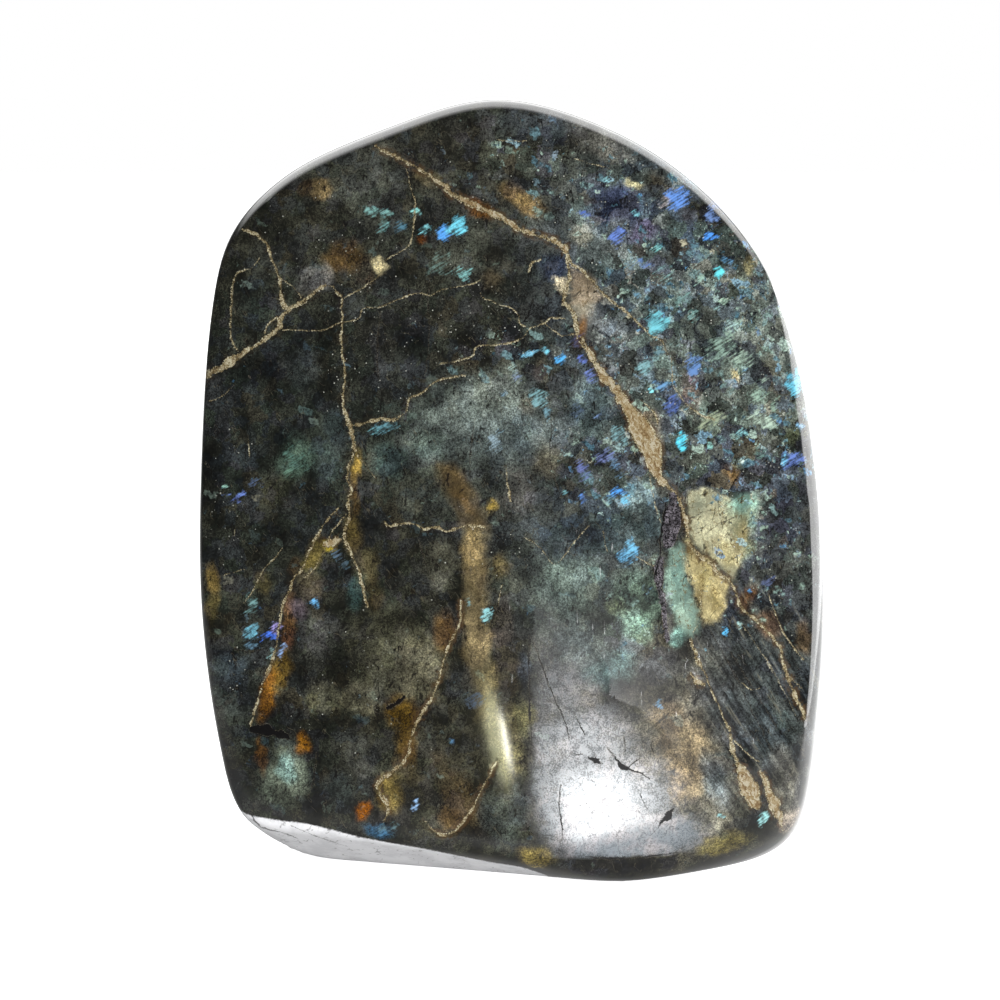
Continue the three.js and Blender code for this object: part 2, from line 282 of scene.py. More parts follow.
    # the low shelf, the gold thread and the loop under it
    ("cream", [(-25, 69, 0.3), (-24, 68, 0.35), (-20, 68.5, 0.3), (-17.5, 67.6, 0.3), (-15, 67.7, 0.3),
        (-13, 67.1, 0.35), (-10.4, 68.1, 0.3), (-8, 68.2, 0.3), (-5.6, 67.7, 0.35)]),
    ("hair", [(-2.3, 79.5, 0.2), (-2, 76, 0.25), (-1.3, 72.2, 0.5)]),
    ("gold", [(-10.5, 55, 0.12), (-11, 50, 0.15), (-12.6, 46.6, 0.2), (-13.8, 43.4, 0.2), (-15, 39, 0.25),
        (-16, 36.3, 0.2), (-18.4, 32.8, 0.3), (-20, 28.5, 0.2), (-20.6, 25.5, 0.25), (-23, 23, 0.3),
        (-26.4, 20, 0.25), (-24.2, 16.6, 0.3), (-25, 13, 0.2)]),
    ("gold", [(-4, 25, 0.12), (-7, 19.3, 0.15), (-8.6, 16.1, 0.2), (-11, 13, 0.2), (-13.6, 11.2, 0.25),
        (-16.4, 12.6, 0.15), (-17.8, 14.2, 0.12)]),
    ("hair", [(0.5, 66.2, 0.15), (3, 65, 0.2), (4.8, 63.2, 0.2), (6.5, 61, 0.15), (8.4, 62.5, 0.15),
        (10.4, 65.1, 0.2), (13.6, 68.6, 0.15)]),
    ("hair", [(15.6, 67.6, 0.12), (16.5, 63.2, 0.15)]),
    ("hair", [(-3, 57.5, 0.12), (-3.8, 53.3, 0.15)]),
    ("hair", [(41.4, 39, 0.12), (43.4, 37.6, 0.25), (45.6, 37.9, 0.15)]),
    ("hair", [(2, 114.5, 0.3), (2.5, 116.3, 0.35), (4.3, 117, 0.25)]),
    # dark open cracks: the chips in the ground patch, the foot, and a few in the body
    ("open", [(12.9, 25.7, 0.15), (14, 25.4, 0.6), (14.9, 24.7, 0.35), (16, 24.4, 0.1)]),
    ("open", [(17.6, 26, 0.08), (18.8, 24.6, 0.25), (19.8, 23.7, 0.55), (21, 23.2, 0.2), (23, 22.6, 0.15),
        (24.8, 21.2, 0.1)]),
    ("open", [(20.4, 23.6, 0.1), (21.6, 24.9, 0.15), (23, 25.6, 0.08)]),
    ("open", [(28.9, 16.2, 0.15), (28, 14.8, 0.65), (27, 13.9, 0.6), (26, 12.6, 0.15), (24.4, 10.8, 0.1)]),
    ("open", [(8, 21, 0.08), (7.6, 17, 0.12), (8.2, 12, 0.12), (7.4, 8, 0.08)]),
    ("open", [(22, 20, 0.06), (23.5, 17, 0.1), (24.4, 15.6, 0.06)]),
    ("open", [(9.5, 27, 0.05), (11, 26.2, 0.12), (12.4, 26.6, 0.05)]),
    ("open", [(16, 27.5, 0.05), (17.4, 26.4, 0.1), (18.2, 25.2, 0.05)]),
    ("open", [(19.4, 29.6, 0.05), (20, 27.6, 0.12), (19.4, 26, 0.05)]),
    ("open", [(25.4, 30, 0.05), (24.8, 27.6, 0.12), (25.6, 25.4, 0.05)]),
    ("open", [(10.5, 33.6, 0.05), (11.6, 31.4, 0.12), (12.6, 29.6, 0.05)]),
    ("open", [(12, 7.4, 0.1), (16, 7, 0.25), (21, 6.9, 0.2), (27, 7.2, 0.2), (30, 7.6, 0.1)]),
    ("open", [(31.7, 69, 0.05), (34, 70.2, 0.08), (36.5, 70.9, 0.05)]),
    ("open", [(34.6, 66, 0.05), (38, 68.4, 0.08), (41.6, 69.7, 0.05)]),
    ("open", [(37.8, 63.9, 0.05), (39.4, 66.4, 0.08), (41, 69, 0.05)]),
    ("hair", [(30.4, 63.6, 0.12), (32.7, 57.6, 0.16), (35.2, 54.4, 0.12)]),
    ("hair", [(32.9, 58.4, 0.1), (35, 60.4, 0.14), (37.8, 62.4, 0.1)]),
    # joints in the body
    ("open", [(-27.6, 118, 0.05), (-27.8, 113.6, 0.1), (-28.4, 109, 0.05)]),
    ("open", [(-16.2, 116, 0.05), (-16.8, 110, 0.1), (-16.6, 103, 0.12), (-17.4, 95, 0.05)]),
    ("open", [(-25.6, 107.6, 0.05), (-26.4, 101, 0.12), (-26, 94, 0.06)]),
    ("open", [(-8, 88, 0.06), (-9, 80, 0.12), (-8.6, 74, 0.06)]),
    ("open", [(-18.6, 66, 0.06), (-17.2, 61, 0.12), (-15.4, 57, 0.06)]),
    ("open", [(4.8, 96, 0.05), (6.2, 88, 0.1), (6, 80, 0.12), (8, 73, 0.05)]),
    ("open", [(35, 50, 0.05), (39, 43, 0.12), (44, 33, 0.14), (47.4, 26, 0.06)]),
    ("open", [(38.6, 46, 0.05), (43.4, 38.6, 0.1), (48.6, 30, 0.06)]),
    ("hair", [(46, 44, 0.08), (49, 38.4, 0.1), (52, 32.4, 0.08)]),
    ("hair", [(41, 50.6, 0.08), (45.6, 44, 0.12), (49.6, 37, 0.08)]),
    ("open", [(2.2, 48.5, 0.1), (2, 43, 0.2), (2.2, 38, 0.22), (2.1, 33.5, 0.2), (2.6, 28.5, 0.1)]),
    ("open", [(2.6, 47, 0.08), (4.6, 42, 0.14), (6.4, 37, 0.14), (8.6, 32.4, 0.14), (9.7, 28.4, 0.08)]),
    ("open", [(-50.2, 14.4, 0.15), (-48.4, 11.3, 0.2), (-44.9, 10.3, 0.18), (-41.8, 8.8, 0.15),
        (-38.7, 6.2, 0.12), (-34.3, 4.6, 0.08)]),
    ("open", [(-42.7, 12.3, 0.08), (-37, 9.4, 0.12), (-31.2, 6.3, 0.08)]),
    ("open", [(-53.3, 44.6, 0.1), (-50, 44.2, 0.15), (-47.5, 44.9, 0.08)]),
    ("open", [(-50.4, 29.6, 0.4), (-48.4, 29.8, 1.0), (-46.2, 29.6, 1.1), (-44.4, 29, 0.9),
        (-42.6, 28.6, 0.4)]),
    ("open", [(-24.8, 34.2, 0.2), (-23.6, 34.8, 0.5), (-22, 36, 0.45), (-20.8, 36.8, 0.2)]),
    ("open", [(27.9, 74.6, 0.1), (27.4, 71, 0.25), (26.6, 66.5, 0.3), (26.4, 62, 0.25), (25.2, 58, 0.15)]),
    ("open", [(-37.6, 26, 0.08), (-38, 21.5, 0.15), (-39.2, 17.5, 0.08)]),
]
# kind: what fills it (0 pale to 1 golden, 2 porous, 3 dark and open), how wide it is drawn, and how far it
# sinks and wanders in mm
fillings = {"hair": (0.02, 0.46, 0, 0.16), "cream": (0.3, 0.66, 0.04, 0.22), "gold": (0.9, 1.0, 0.05, 0.22),
            "porous": (2.0, 1.15, 0.1, 0.22), "open": (3.0, 0.85, 0, 0.22)}
fractureReach = 1.3      # mm past its edge that a fracture is still written on the points
fractureStep = 0.4       # mm between the points that its run is smoothed to
unbrokenField = (9.0, -6.0, 0.0)     # signed distance, half width and filling where there is no fracture


def runAlong(path, wander, widen, seed):  # a smooth, slightly wandering run through the points of a fracture
    path = np.array(path, float)
    ends = np.vstack([2 * path[0] - path[1], path, 2 * path[-1] - path[-2]])
    run = []
    for a, b, c, d in zip(ends, ends[1:], ends[2:], ends[3:]):
        count = max(2, int(np.hypot(*(c - b)[:2]) / fractureStep))
        for step in range(count):
            t = step / count
            run.append(0.5 * (2 * b + (c - a) * t + (2 * a - 5 * b + 4 * c - d) * t ** 2
                              + (3 * b - a - 3 * c + d) * t ** 3))
    run = np.array(run + [path[-1]])
    for spot in run:
        place = Vector((spot[0], spot[1], seed * 9.1))
        fine = 0.6 * noise.noise(place * 2.3)
        spot[0] += wander * (noise.noise(place * 0.9) + fine)
        spot[1] += wander * (noise.noise(place * 0.9 + Vector((40, 0, 0))) + fine)
        spot[2] *= widen * (1 + 0.5 * noise.noise(place * 0.7 + Vector((0, 60, 0))))
    return run


def distanceTo(run):  # the points near a run, with their signed distance to it and its half width there
    reach = run[:, 2].max() + fractureReach + 1
    inside = np.ones(len(points), bool)
    for axis, value in enumerate((across, up)):
        inside &= (value > run[:, axis].min() - reach) & (value < run[:, axis].max() + reach)
    chosen = np.flatnonzero(inside)
    start = run[:-1, :2]
    along = run[1:, :2] - start
    length = np.maximum((along ** 2).sum(1), 1e-9)
    toX = across[chosen][:, None] - start[:, 0]
    toY = up[chosen][:, None] - start[:, 1]
    part = (toX * along[:, 0] + toY * along[:, 1]) / length
    held = np.clip(part, 0, 1)
    gap = np.hypot(toX - held * along[:, 0], toY - held * along[:, 1])
    best = gap.argmin(1)
    rows = np.arange(len(chosen))
    side = np.sign(along[best, 0] * toY[rows, best] - along[best, 1] * toX[rows, best])
    width = run[best, 2] + held[rows, best] * (run[best + 1, 2] - run[best, 2])
    past = ((best == 0) & (part[rows, best] < 0)) | ((best == len(along) - 1) & (part[rows, best] > 1))
    gap = gap[rows, best]
    width = np.where(past, width - 2.5 * gap, width)   # a run tapers off quickly past its ends
    close = gap < width + fractureReach * (1 + 1.2 * (1 - front[chosen]))
    return chosen[close], (side * gap)[close], width[close]


def layFractures():  # fractures that meet go in different layers, so that each keeps a clean signed distance
    layers = []
    for seed, (kind, path) in enumerate(fractures):
        filling, widen, sink, wander = fillings[kind]
        chosen, gap, width = distanceTo(runAlong(path, wander, widen, seed))
        if kind == "open":   # only the show side has open cracks
            width -= 3 * (1 - front[chosen])
        for layer in layers:
            if not layer["taken"][chosen].any():
                break
        else:
            layer = {"taken": np.zeros(len(points), bool), "field": np.tile(unbrokenField, (len(points), 1))}
            layers.append(layer)
        layer["taken"][chosen] = True
        layer["field"][chosen] = np.column_stack([gap, width, np.full(len(gap), filling)])
        sunk[chosen] = np.maximum(sunk[chosen], sink * ease(-0.4, 0.5, width - np.abs(gap)))
    return layers


def addField(name, values):
    kind, slot = ("FLOAT_COLOR", "color") if values.shape[1] == 4 else ("FLOAT_VECTOR", "vector")
    attribute = mesh.attributes.new(name, kind, "POINT")
    attribute.data.foreach_set(slot, values.astype(np.float32).ravel())


sunk = np.zeros(len(points))
layers = layFractures()
points = writePoints(points - normals * sunk[:, None])
for index, layer in enumerate(layers):
    addField("fracture%d" % index, layer["field"])
say("%d fractures in %d layers" % (len(fractures), len(layers)))

body = {
    "dark": (43, 43, 36),    # the colour under the patches
    "deepen": -0.22,         # how far the patches are drawn towards their own grey
    "cut": 8,                # mm of reach past which a patch counts as broad, and comes in more softly
    "broad": 0.75,
    "small": 0.4,
    "markSoftness": 0.6,     # the same for the marks in the crystals and for the flashes
    "crystalBend": 0.5,      # how much of the wander the outlines of the crystals follow
    "fray": 0.6,             # mm
    "middle": (50, 50, 50),  # the colour that the contrast turns on
    "flashMuted": 0.22,
    "flashCast": (0.94, 1.05, 1.05),
    "calm": 0.6,             # how much of its grain a pale crystal loses
    "groundFrom": (6.6, 7.6),    # mm up, where the ground patch and its painted glare start above the foot
    "groundEdge": 2.2,       # mm across, where it stops at a straight crack
}
# what drifts over the sides and the back: colour, size in mm, seed, and the span over which it comes in
sideClouds = [
    ((70, 74, 70), 19, 21, -0.1, 0.4), ((82, 76, 58), 11, 22, 0.15, 0.5), ((76, 88, 90), 14, 23, 0.1, 0.45),
    ((32, 34, 32), 9, 24, 0.05, 0.4), ((98, 96, 82), 5, 25, 0.35, 0.65),
]
# soft patches of colour: across, up, reach across, reach up, turn, colour, strength
clouds = [
    # broad areas first
    (-35, 120, 26, 22, 0, (54, 55, 49), 0.8), (-45, 85, 18, 20, 0, (42, 46, 43), 0.8),
    (-20, 104, 12, 9, 0, (50, 52, 48), 0.6), (5, 130, 24, 14, 0, (66, 67, 62), 0.8),
    (30, 112, 22, 26, 0, (96, 105, 108), 0.85), (42, 98, 15, 18, 0, (108, 115, 111), 0.85),
    (45, 55, 12, 26, 0, (74, 77, 78), 0.8), (46, 77, 6, 6, 0, (98, 102, 102), 0.6),
    (45, 35, 14, 16, 0, (62, 67, 68), 0.8), (10, 80, 22, 16, 0, (62, 66, 67), 0.8),
    (-10, 84, 16, 12, 0, (70, 75, 70), 0.6), (-45, 60, 16, 16, 0, (44, 46, 42), 0.7),
    (-52, 40, 9, 9, 0, (53, 56, 53), 0.8), (-30, 20, 18, 12, 0, (41, 43, 39), 0.75),
    (-10, 25, 16, 18, 0, (70, 68, 58), 0.7), (14, 57, 13, 11, 0, (94, 101, 96), 0.75),
    (30, 25, 10, 18, 0, (110, 106, 94), 0.7),
    # the crown
    (3, 141.3, 7.5, 3.2, -4, (74, 79, 83), 0.9), (15.5, 138.3, 6, 2.8, -24, (103, 103, 98), 0.9),
    (-10, 138, 9, 4, 15, (54, 53, 48), 0.8), (2, 137.2, 7, 2, 0, (46, 47, 44), 0.7),
    (-30, 131, 4, 6, 20, (74, 77, 71), 0.6), (-37, 129.7, 1.9, 1.7, 0, (128, 113, 88), 0.8),
    (-40.3, 130, 1.5, 1.2, 0, (64, 50, 38), 0.7), (-44, 127, 3.5, 4, 0, (38, 39, 35), 0.7),
    (-29, 137, 5, 2, 22, (40, 40, 37), 0.6), (-7, 126.3, 2.8, 1.4, -30, (126, 88, 54), 0.8),
    (-17.5, 132, 3, 1.2, -35, (98, 90, 70), 0.6), (1, 128, 4.6, 1.8, -34, (134, 115, 84), 0.75),
    (-32.5, 117, 3.4, 2.9, 0, (98, 80, 56), 0.75), (-18, 120.6, 0.9, 0.7, 0, (132, 86, 58), 0.8),
    (-38.5, 113.4, 3, 2.4, 20, (92, 92, 90), 0.8), (-35.6, 114, 1.2, 2.4, 0, (128, 126, 122), 0.5),
    (-26.3, 118.5, 1, 1.3, 0, (34, 33, 32), 0.7), (-29, 114.5, 2.5, 2.5, 0, (60, 52, 46), 0.6),
    (-49.5, 110, 3.6, 4.6, 0, (36, 40, 39), 0.75), (-23, 121, 4, 3, 0, (58, 60, 55), 0.5),
    (-5, 113.3, 1.6, 1.5, 0, (88, 79, 64), 0.6), (6.5, 115.6, 3, 2, 0, (50, 56, 70), 0.85),
    (12, 121.5, 2.4, 1.8, 20, (120, 118, 106), 0.6), (-12, 117, 5, 4, 0, (76, 79, 72), 0.5),
    (4, 109, 5, 4, 0, (58, 60, 60), 0.6), (21.5, 131.2, 1.5, 0.6, 0, (190, 184, 150), 0.7),
    (19, 127, 6, 3.5, 0, (58, 62, 92), 0.7), (23.3, 122.2, 2.4, 1.8, 15, (124, 116, 140), 0.7),
    (26, 131, 3, 1.6, -30, (58, 50, 40), 0.6), (33, 125.5, 3, 1.6, 0, (74, 66, 54), 0.6),
    (40, 121, 4.4, 6, 0, (64, 70, 72), 0.65), (43.7, 116, 1.1, 1.5, -20, (164, 154, 120), 0.7),
    (41, 112, 3, 3, 0, (80, 76, 66), 0.5),
    # the wedge between the branches of the fork
    (12.3, 112.6, 1.8, 2.2, 0, (134, 118, 98), 0.8), (12, 109, 2.6, 2.6, 20, (160, 154, 138), 0.85),
    (11.3, 104, 0.9, 2.6, -15, (150, 112, 76), 0.8), (14.5, 104.5, 2.4, 4, -20, (136, 136, 134), 0.65),
    (13.5, 90, 4, 5, 0, (104, 118, 120), 0.5), (18.5, 104, 3, 1.2, 10, (128, 140, 152), 0.6),
    (17.6, 97.6, 2.2, 1.7, 25, (172, 178, 178), 0.7), (21, 100, 2.5, 3.5, 0, (112, 118, 116), 0.6),
    (22.8, 94.6, 3, 3, 0, (122, 134, 132), 0.65), (20.6, 90, 0.8, 1.4, 0, (150, 84, 52), 0.8),
    (24, 88.6, 1.6, 1.4, 0, (136, 120, 104), 0.6), (25.6, 86, 1.2, 2.6, 0, (146, 142, 126), 0.7),
    # right of the fork
    (41, 95.5, 1.2, 1, 0, (166, 154, 120), 0.8), (47, 96, 2.6, 2.6, 0, (86, 79, 72), 0.7),
    (32, 93, 2.2, 3, 0, (110, 96, 96), 0.7), (51.7, 84.3, 1.4, 1, 0, (120, 126, 96), 0.6),
    (40, 77.5, 1.5, 1.6, 0, (132, 106, 74), 0.7), (43.5, 81.8, 2, 2.5, 0, (80, 66, 52), 0.5),
    (38.5, 83, 1.4, 4, 30, (50, 46, 44), 0.6), (43, 70.5, 2.6, 2.6, 0, (108, 128, 118), 0.8),
    (49, 69, 4, 5, 0, (54, 57, 64), 0.7), (41.5, 66, 1.2, 3, 0, (128, 122, 86), 0.7),
    (42, 63.3, 2.2, 1.6, 0, (134, 142, 118), 0.5), (42.5, 54.5, 1.2, 2, -25, (122, 88, 62), 0.7),
    (47, 49.5, 2.4, 1.6, -40, (112, 90, 74), 0.7), (53.5, 47, 1.6, 3, 0, (112, 94, 72), 0.6),
    (38, 52, 3.4, 3, 0, (58, 64, 70), 0.7), (39, 33, 4, 8, 28, (66, 72, 78), 0.6),
    (48, 30, 4, 7, 25, (50, 56, 56), 0.7), (44.5, 33, 1.8, 8, 28, (84, 90, 90), 0.45),
    (31, 27, 5, 6, 20, (126, 112, 90), 0.7), (27.5, 33, 3, 3, 0, (112, 98, 80), 0.6),
    (30.5, 21, 3, 4, 0, (136, 122, 100), 0.7), (36.5, 21, 2.4, 5, 20, (92, 100, 104), 0.7),
    (38.5, 8.5, 5, 2.2, 10, (112, 104, 70), 0.8), (36, 13, 3, 2, 20, (130, 128, 116), 0.6),
    (50, 20, 2.5, 7, 10, (110, 108, 100), 0.6), (51.5, 11.5, 2.5, 3, 0, (168, 158, 146), 0.7),
    # the pale green field left of the porous seam
    (22, 54, 4.4, 5.5, 10, (118, 136, 122), 0.75), (22.3, 49.5, 3, 2.6, 0, (116, 138, 122), 0.7),
    (17.8, 53.5, 1.6, 1.4, 0, (130, 138, 108), 0.6), (16.5, 67, 6, 3.5, 0, (80, 94, 98), 0.7),
    (24.5, 67.5, 2.4, 2.6, 0, (72, 86, 88), 0.6), (22.6, 73, 3, 3.2, 0, (124, 140, 142), 0.65),
    (10, 58, 6, 6, 0, (100, 112, 106), 0.6), (17, 41.5, 4.5, 3.2, 20, (92, 112, 112), 0.6),
    (12, 46, 5, 4, -30, (104, 112, 110), 0.6), (29.8, 47.4, 1.5, 1.5, 0, (150, 184, 174), 0.85),
    (26, 42, 5, 3, 0, (74, 76, 78), 0.6), (13.6, 37, 2.2, 1.6, 30, (126, 120, 112), 0.3),
    # the middle: a teal-grey cloud with a slanting upper edge
    (-7, 88.5, 11, 5.6, 14, (117, 125, 120), 0.85), (-2, 84.5, 9, 4, 0, (96, 104, 104), 0.6),
    (-3.2, 93.6, 5.2, 3.4, 20, (120, 126, 118), 0.6), (1.6, 90.2, 1.3, 1.8, 0, (98, 88, 74), 0.5),
    (0.8, 86, 2.8, 3.4, 0, (74, 82, 82), 0.6), (4.5, 96.5, 1.5, 2.2, 0, (98, 90, 80), 0.6),
    (-17, 83, 3.4, 2.6, 0, (78, 90, 84), 0.5), (-19, 100, 3, 7, 0, (36, 38, 37), 0.6),
    (-10, 99, 5, 2, 10, (44, 44, 40), 0.6), (6, 94, 2, 3.4, 0, (58, 58, 54), 0.5),
    (5.6, 80, 3, 3, 0, (88, 82, 68), 0.55), (-12, 76, 2.6, 4, 35, (110, 92, 62), 0.7),
    (-17, 74, 5, 5, 0, (74, 77, 69), 0.5), (-4.8, 72, 0.9, 1.4, -30, (150, 130, 80), 0.7),
    (0, 74.5, 3, 4, 0, (80, 76, 74), 0.5),
    # the translucent gold band down the middle
    (-8.2, 63, 2.1, 5.6, 0, (136, 118, 84), 0.85), (-8, 54, 2.2, 6.5, 0, (128, 114, 86), 0.85),
    (-7.5, 46, 2.2, 5.5, -8, (120, 106, 80), 0.8), (-5.8, 38, 2, 5, -10, (124, 112, 80), 0.8),
    (-14, 61, 2.6, 4.4, 0, (108, 108, 96), 0.7), (-17.5, 62, 3.5, 3.5, 0, (62, 62, 54), 0.5),
    (-3.2, 60.5, 1.5, 2.2, 0, (110, 98, 70), 0.6), (-3, 50, 2, 5, 0, (72, 66, 58), 0.6),
    (-2, 42, 2.2, 5, 0, (62, 56, 48), 0.8), (1.2, 42, 1.1, 3.2, 0, (62, 66, 74), 0.8),
    (1, 33, 1.6, 3.5, 0, (92, 90, 66), 0.6), (-1.6, 27, 2, 6, 0, (124, 118, 90), 0.6),
    (-22.5, 88.5, 4, 3.4, 0, (42, 46, 44), 0.8),
    # the lower left
    (-24, 45, 7, 7, 20, (96, 95, 80), 0.8), (-18.5, 42, 4, 6, 0, (100, 97, 82), 0.8),
    (-36, 36, 4, 3, 0, (86, 85, 70), 0.75), (-29.5, 36, 3.4, 3.2, 0, (98, 96, 82), 0.75),
    (-37, 48, 4, 4, 0, (74, 74, 70), 0.6), (-28, 48, 2, 3.6, 0, (44, 44, 40), 0.5),
    (-14, 48.5, 1.8, 3.4, 0, (100, 78, 50), 0.6), (-10.5, 39, 2.8, 3.8, 10, (60, 62, 62), 0.75),
    (-21.5, 33.5, 2.8, 3.4, 20, (108, 86, 48), 0.8), (-20.6, 28, 1.6, 4, 10, (104, 84, 50), 0.7),
    (-21.4, 22.6, 2.2, 3, 0, (94, 86, 66), 0.55), (-13, 30, 5, 4.5, 0, (54, 54, 48), 0.7),
    (-24, 18.6, 2.4, 3.2, 15, (146, 130, 88), 0.8), (-29, 15.4, 1.1, 1.8, -20, (140, 88, 48), 0.85),
    (-29, 25.5, 3, 3.4, 0, (66, 68, 66), 0.5), (-28.8, 22.8, 1.4, 1.8, 20, (104, 104, 98), 0.7),
    (-43.6, 21.4, 4.8, 5.4, -6, (104, 111, 100), 0.85), (-43.4, 22.6, 1.8, 2.6, 0, (124, 146, 140), 0.75),
    (-40.2, 27.6, 1.3, 2, 0, (132, 94, 54), 0.75), (-48.3, 25, 0.7, 3.5, 4, (98, 70, 44), 0.7),
    (-37.8, 22, 0.9, 4.5, 12, (36, 38, 35), 0.7), (-33.5, 19, 3, 3.6, 0, (58, 64, 64), 0.6),
    (-26, 11.6, 2.8, 1.4, -10, (56, 92, 118), 0.6), (-46, 29.4, 3.6, 1, 0, (22, 20, 20), 0.7),
    (-52, 28, 2, 3, 0, (26, 32, 34), 0.5), (-23, 35.2, 2.2, 0.9, 35, (40, 38, 36), 0.6),
    (-10.5, 18, 3, 6, 35, (84, 72, 54), 0.7), (-12.8, 14.2, 2.2, 2, 40, (98, 78, 52), 0.6),
    (-13.8, 22, 1.6, 5, 20, (60, 52, 42), 0.6), (-3.8, 14, 3, 6, 20, (74, 80, 76), 0.7),
    (0, 17, 2, 4, 0, (80, 88, 90), 0.6), (3.2, 7.2, 3, 2.2, -20, (118, 106, 70), 0.8),
    # stains along the left edge and the long fractures
    (-57.4, 57.6, 1.1, 2.8, 12, (104, 90, 60), 0.7), (-57.4, 52, 1.2, 2.6, -8, (88, 78, 50), 0.6),
    (-54.2, 47.8, 4.2, 3.2, 0, (50, 48, 40), 0.5), (-54, 41, 3.4, 2.6, 0, (70, 78, 82), 0.7),
    (-53, 36, 3.4, 4, 0, (58, 62, 62), 0.6), (-53.5, 44.2, 4.4, 0.4, 8, (22, 20, 18), 0.8),
    (-30.2, 78.5, 0.8, 3.4, 0, (118, 100, 62), 0.75), (-30.6, 72.5, 0.9, 3, 0, (88, 70, 46), 0.6),
    (-30.6, 66, 1.7, 3.4, 0, (96, 84, 54), 0.7), (-28.4, 60, 2, 4, -10, (84, 76, 56), 0.6),
    (-26.8, 55, 1.4, 3, 0, (74, 64, 44), 0.5), (-38, 62.6, 1.4, 3.2, -25, (98, 88, 54), 0.75),
    (-35.4, 64.2, 1.3, 1, 0, (160, 146, 82), 0.8), (-39, 56.5, 2.6, 2.6, 0, (84, 76, 62), 0.6),
    (-43.2, 50, 0.8, 5, -8, (128, 100, 74), 0.7), (-43, 47, 1.5, 2, 0, (118, 88, 74), 0.7),
    (-44.5, 41, 1.6, 4, -12, (112, 92, 54), 0.75), (-47, 36.2, 1.3, 4.6, -14, (122, 88, 52), 0.85),
    (-41.5, 60, 1, 2, -20, (70, 56, 40), 0.6), (-41.2, 52.7, 1.6, 1.6, 0, (114, 104, 110), 0.6),
    (-47.5, 57, 1.4, 2, 0, (78, 70, 46), 0.5), (-30, 56, 1.4, 3.6, -6, (48, 66, 64), 0.7),
    # between the left fractures and the network
    (-40.5, 97, 3.6, 3.4, 0, (72, 77, 77), 0.7), (-39, 101.6, 1.4, 1.6, 0, (82, 84, 74), 0.6),
    (-33.8, 86, 2.6, 4, 0, (58, 66, 68), 0.6), (-36, 79, 3, 3.5, 0, (64, 74, 72), 0.6),
    (-41.5, 80, 3.4, 4, -30, (76, 92, 82), 0.7), (-45, 74, 4, 3, 0, (58, 56, 44), 0.5),
    (-24, 96, 4.5, 5, 0, (62, 64, 63), 0.5), (-26, 103, 3.5, 2.6, 0, (76, 75, 72), 0.4),
    (-48, 97, 6, 4, 30, (30, 33, 33), 0.6), (-54, 80, 5, 6, 0, (36, 39, 37), 0.6),
    (-24, 80, 3.4, 3, 0, (70, 84, 82), 0.6), (-39, 72.5, 4, 3.6, 0, (40, 42, 38), 0.6),
    # last, a dark slate area left of the porous seam, a darker one right of the fork, the pale wedge inside
    # the fork, and the grey patch under the left of the crown
    (10.6, 66, 7, 4, 0, (44, 50, 56), 0.75), (32.4, 118.6, 5.5, 5, 0, (54, 62, 68), 0.5),
    (17.7, 103, 3, 6.5, 25, (132, 138, 138), 0.5), (-27.6, 133, 6, 4.4, 0, (86, 88, 82), 0.5),
]

# crisp-edged crystals, and a strip of painted shade along the bottom edge: corners, edge softness in mm,
# colour and strength
crystalsAndShadeStrip = [
    ([(31.4, 73.8), (35, 74.8), (40.5, 73), (44.2, 74), (44.6, 71), (42.6, 68.4), (42.6, 65), (41.8, 61),
        (40.2, 58.2), (37.5, 60.2), (33.6, 64), (31.8, 66.4), (31.6, 70)], 1.0, (166, 164, 136), 0.9),
    ([(40.2, 73.4), (44.4, 74.2), (44.8, 71), (42.4, 68.2), (40, 70)], 1.4, (112, 140, 130), 0.85),
    ([(31.2, 65.4), (36.5, 60.4), (39.5, 57.4), (38.6, 53), (37, 50), (34.6, 49.6), (33.2, 55),
        (31, 60)], 1.0, (178, 166, 124), 0.85),
    ([(28.4, 64), (31, 64.4), (31.2, 59), (33.4, 53), (34, 49), (32.4, 47.4), (30, 48.4), (28.2, 54),
        (27.6, 58)], 1.2, (134, 160, 146), 0.85),
    ([(-27.7, 116.8), (-25.8, 117.2), (-24.2, 115.6), (-25.4, 114), (-26.8, 115)], 0.7,
        (168, 158, 124), 0.9),
    ([(6.5, 114), (9.3, 113.4), (9.2, 111), (8, 110.6)], 0.5, (214, 202, 172), 0.95),
    ([(9.8, 115.5), (12.5, 114), (14.6, 112), (15.6, 109), (12, 108.4), (9.6, 108.8), (10.2, 112)], 0.8,
        (150, 136, 116), 0.75),
    # painted shade: a dark strip along the bottom edge, where its rounding reflects the dark below the glare
    ([(7.6, 7), (16, 6.4), (29.9, 6.8), (30, 4), (18, 3.2), (7.6, 3.6)], 0.5, (44, 42, 40), 0.95),
    ([(-14.6, 79.6), (-10, 77.6), (-5.8, 70.4), (-5.4, 67.6), (-10.6, 68), (-13, 72.4)], 1.6,
        (100, 86, 62), 0.5),
    ([(-10.4, 68), (-5.4, 67.8), (-5.2, 60), (-5.8, 52), (-5.2, 44), (-3.6, 36), (-2.4, 28.6), (-5.4, 27.6),
        (-7.8, 35), (-9.6, 44), (-10.2, 55)], 1.6, (116, 108, 86), 0.46),
    ([(10.2, 141.8), (10.7, 141.6), (9.3, 136.6), (8.8, 136.9)], 0.4, (40, 40, 38), 0.8),
    ([(3, 137.6), (9, 137), (8.6, 136.2), (3, 136.8)], 0.6, (46, 46, 42), 0.6),
]

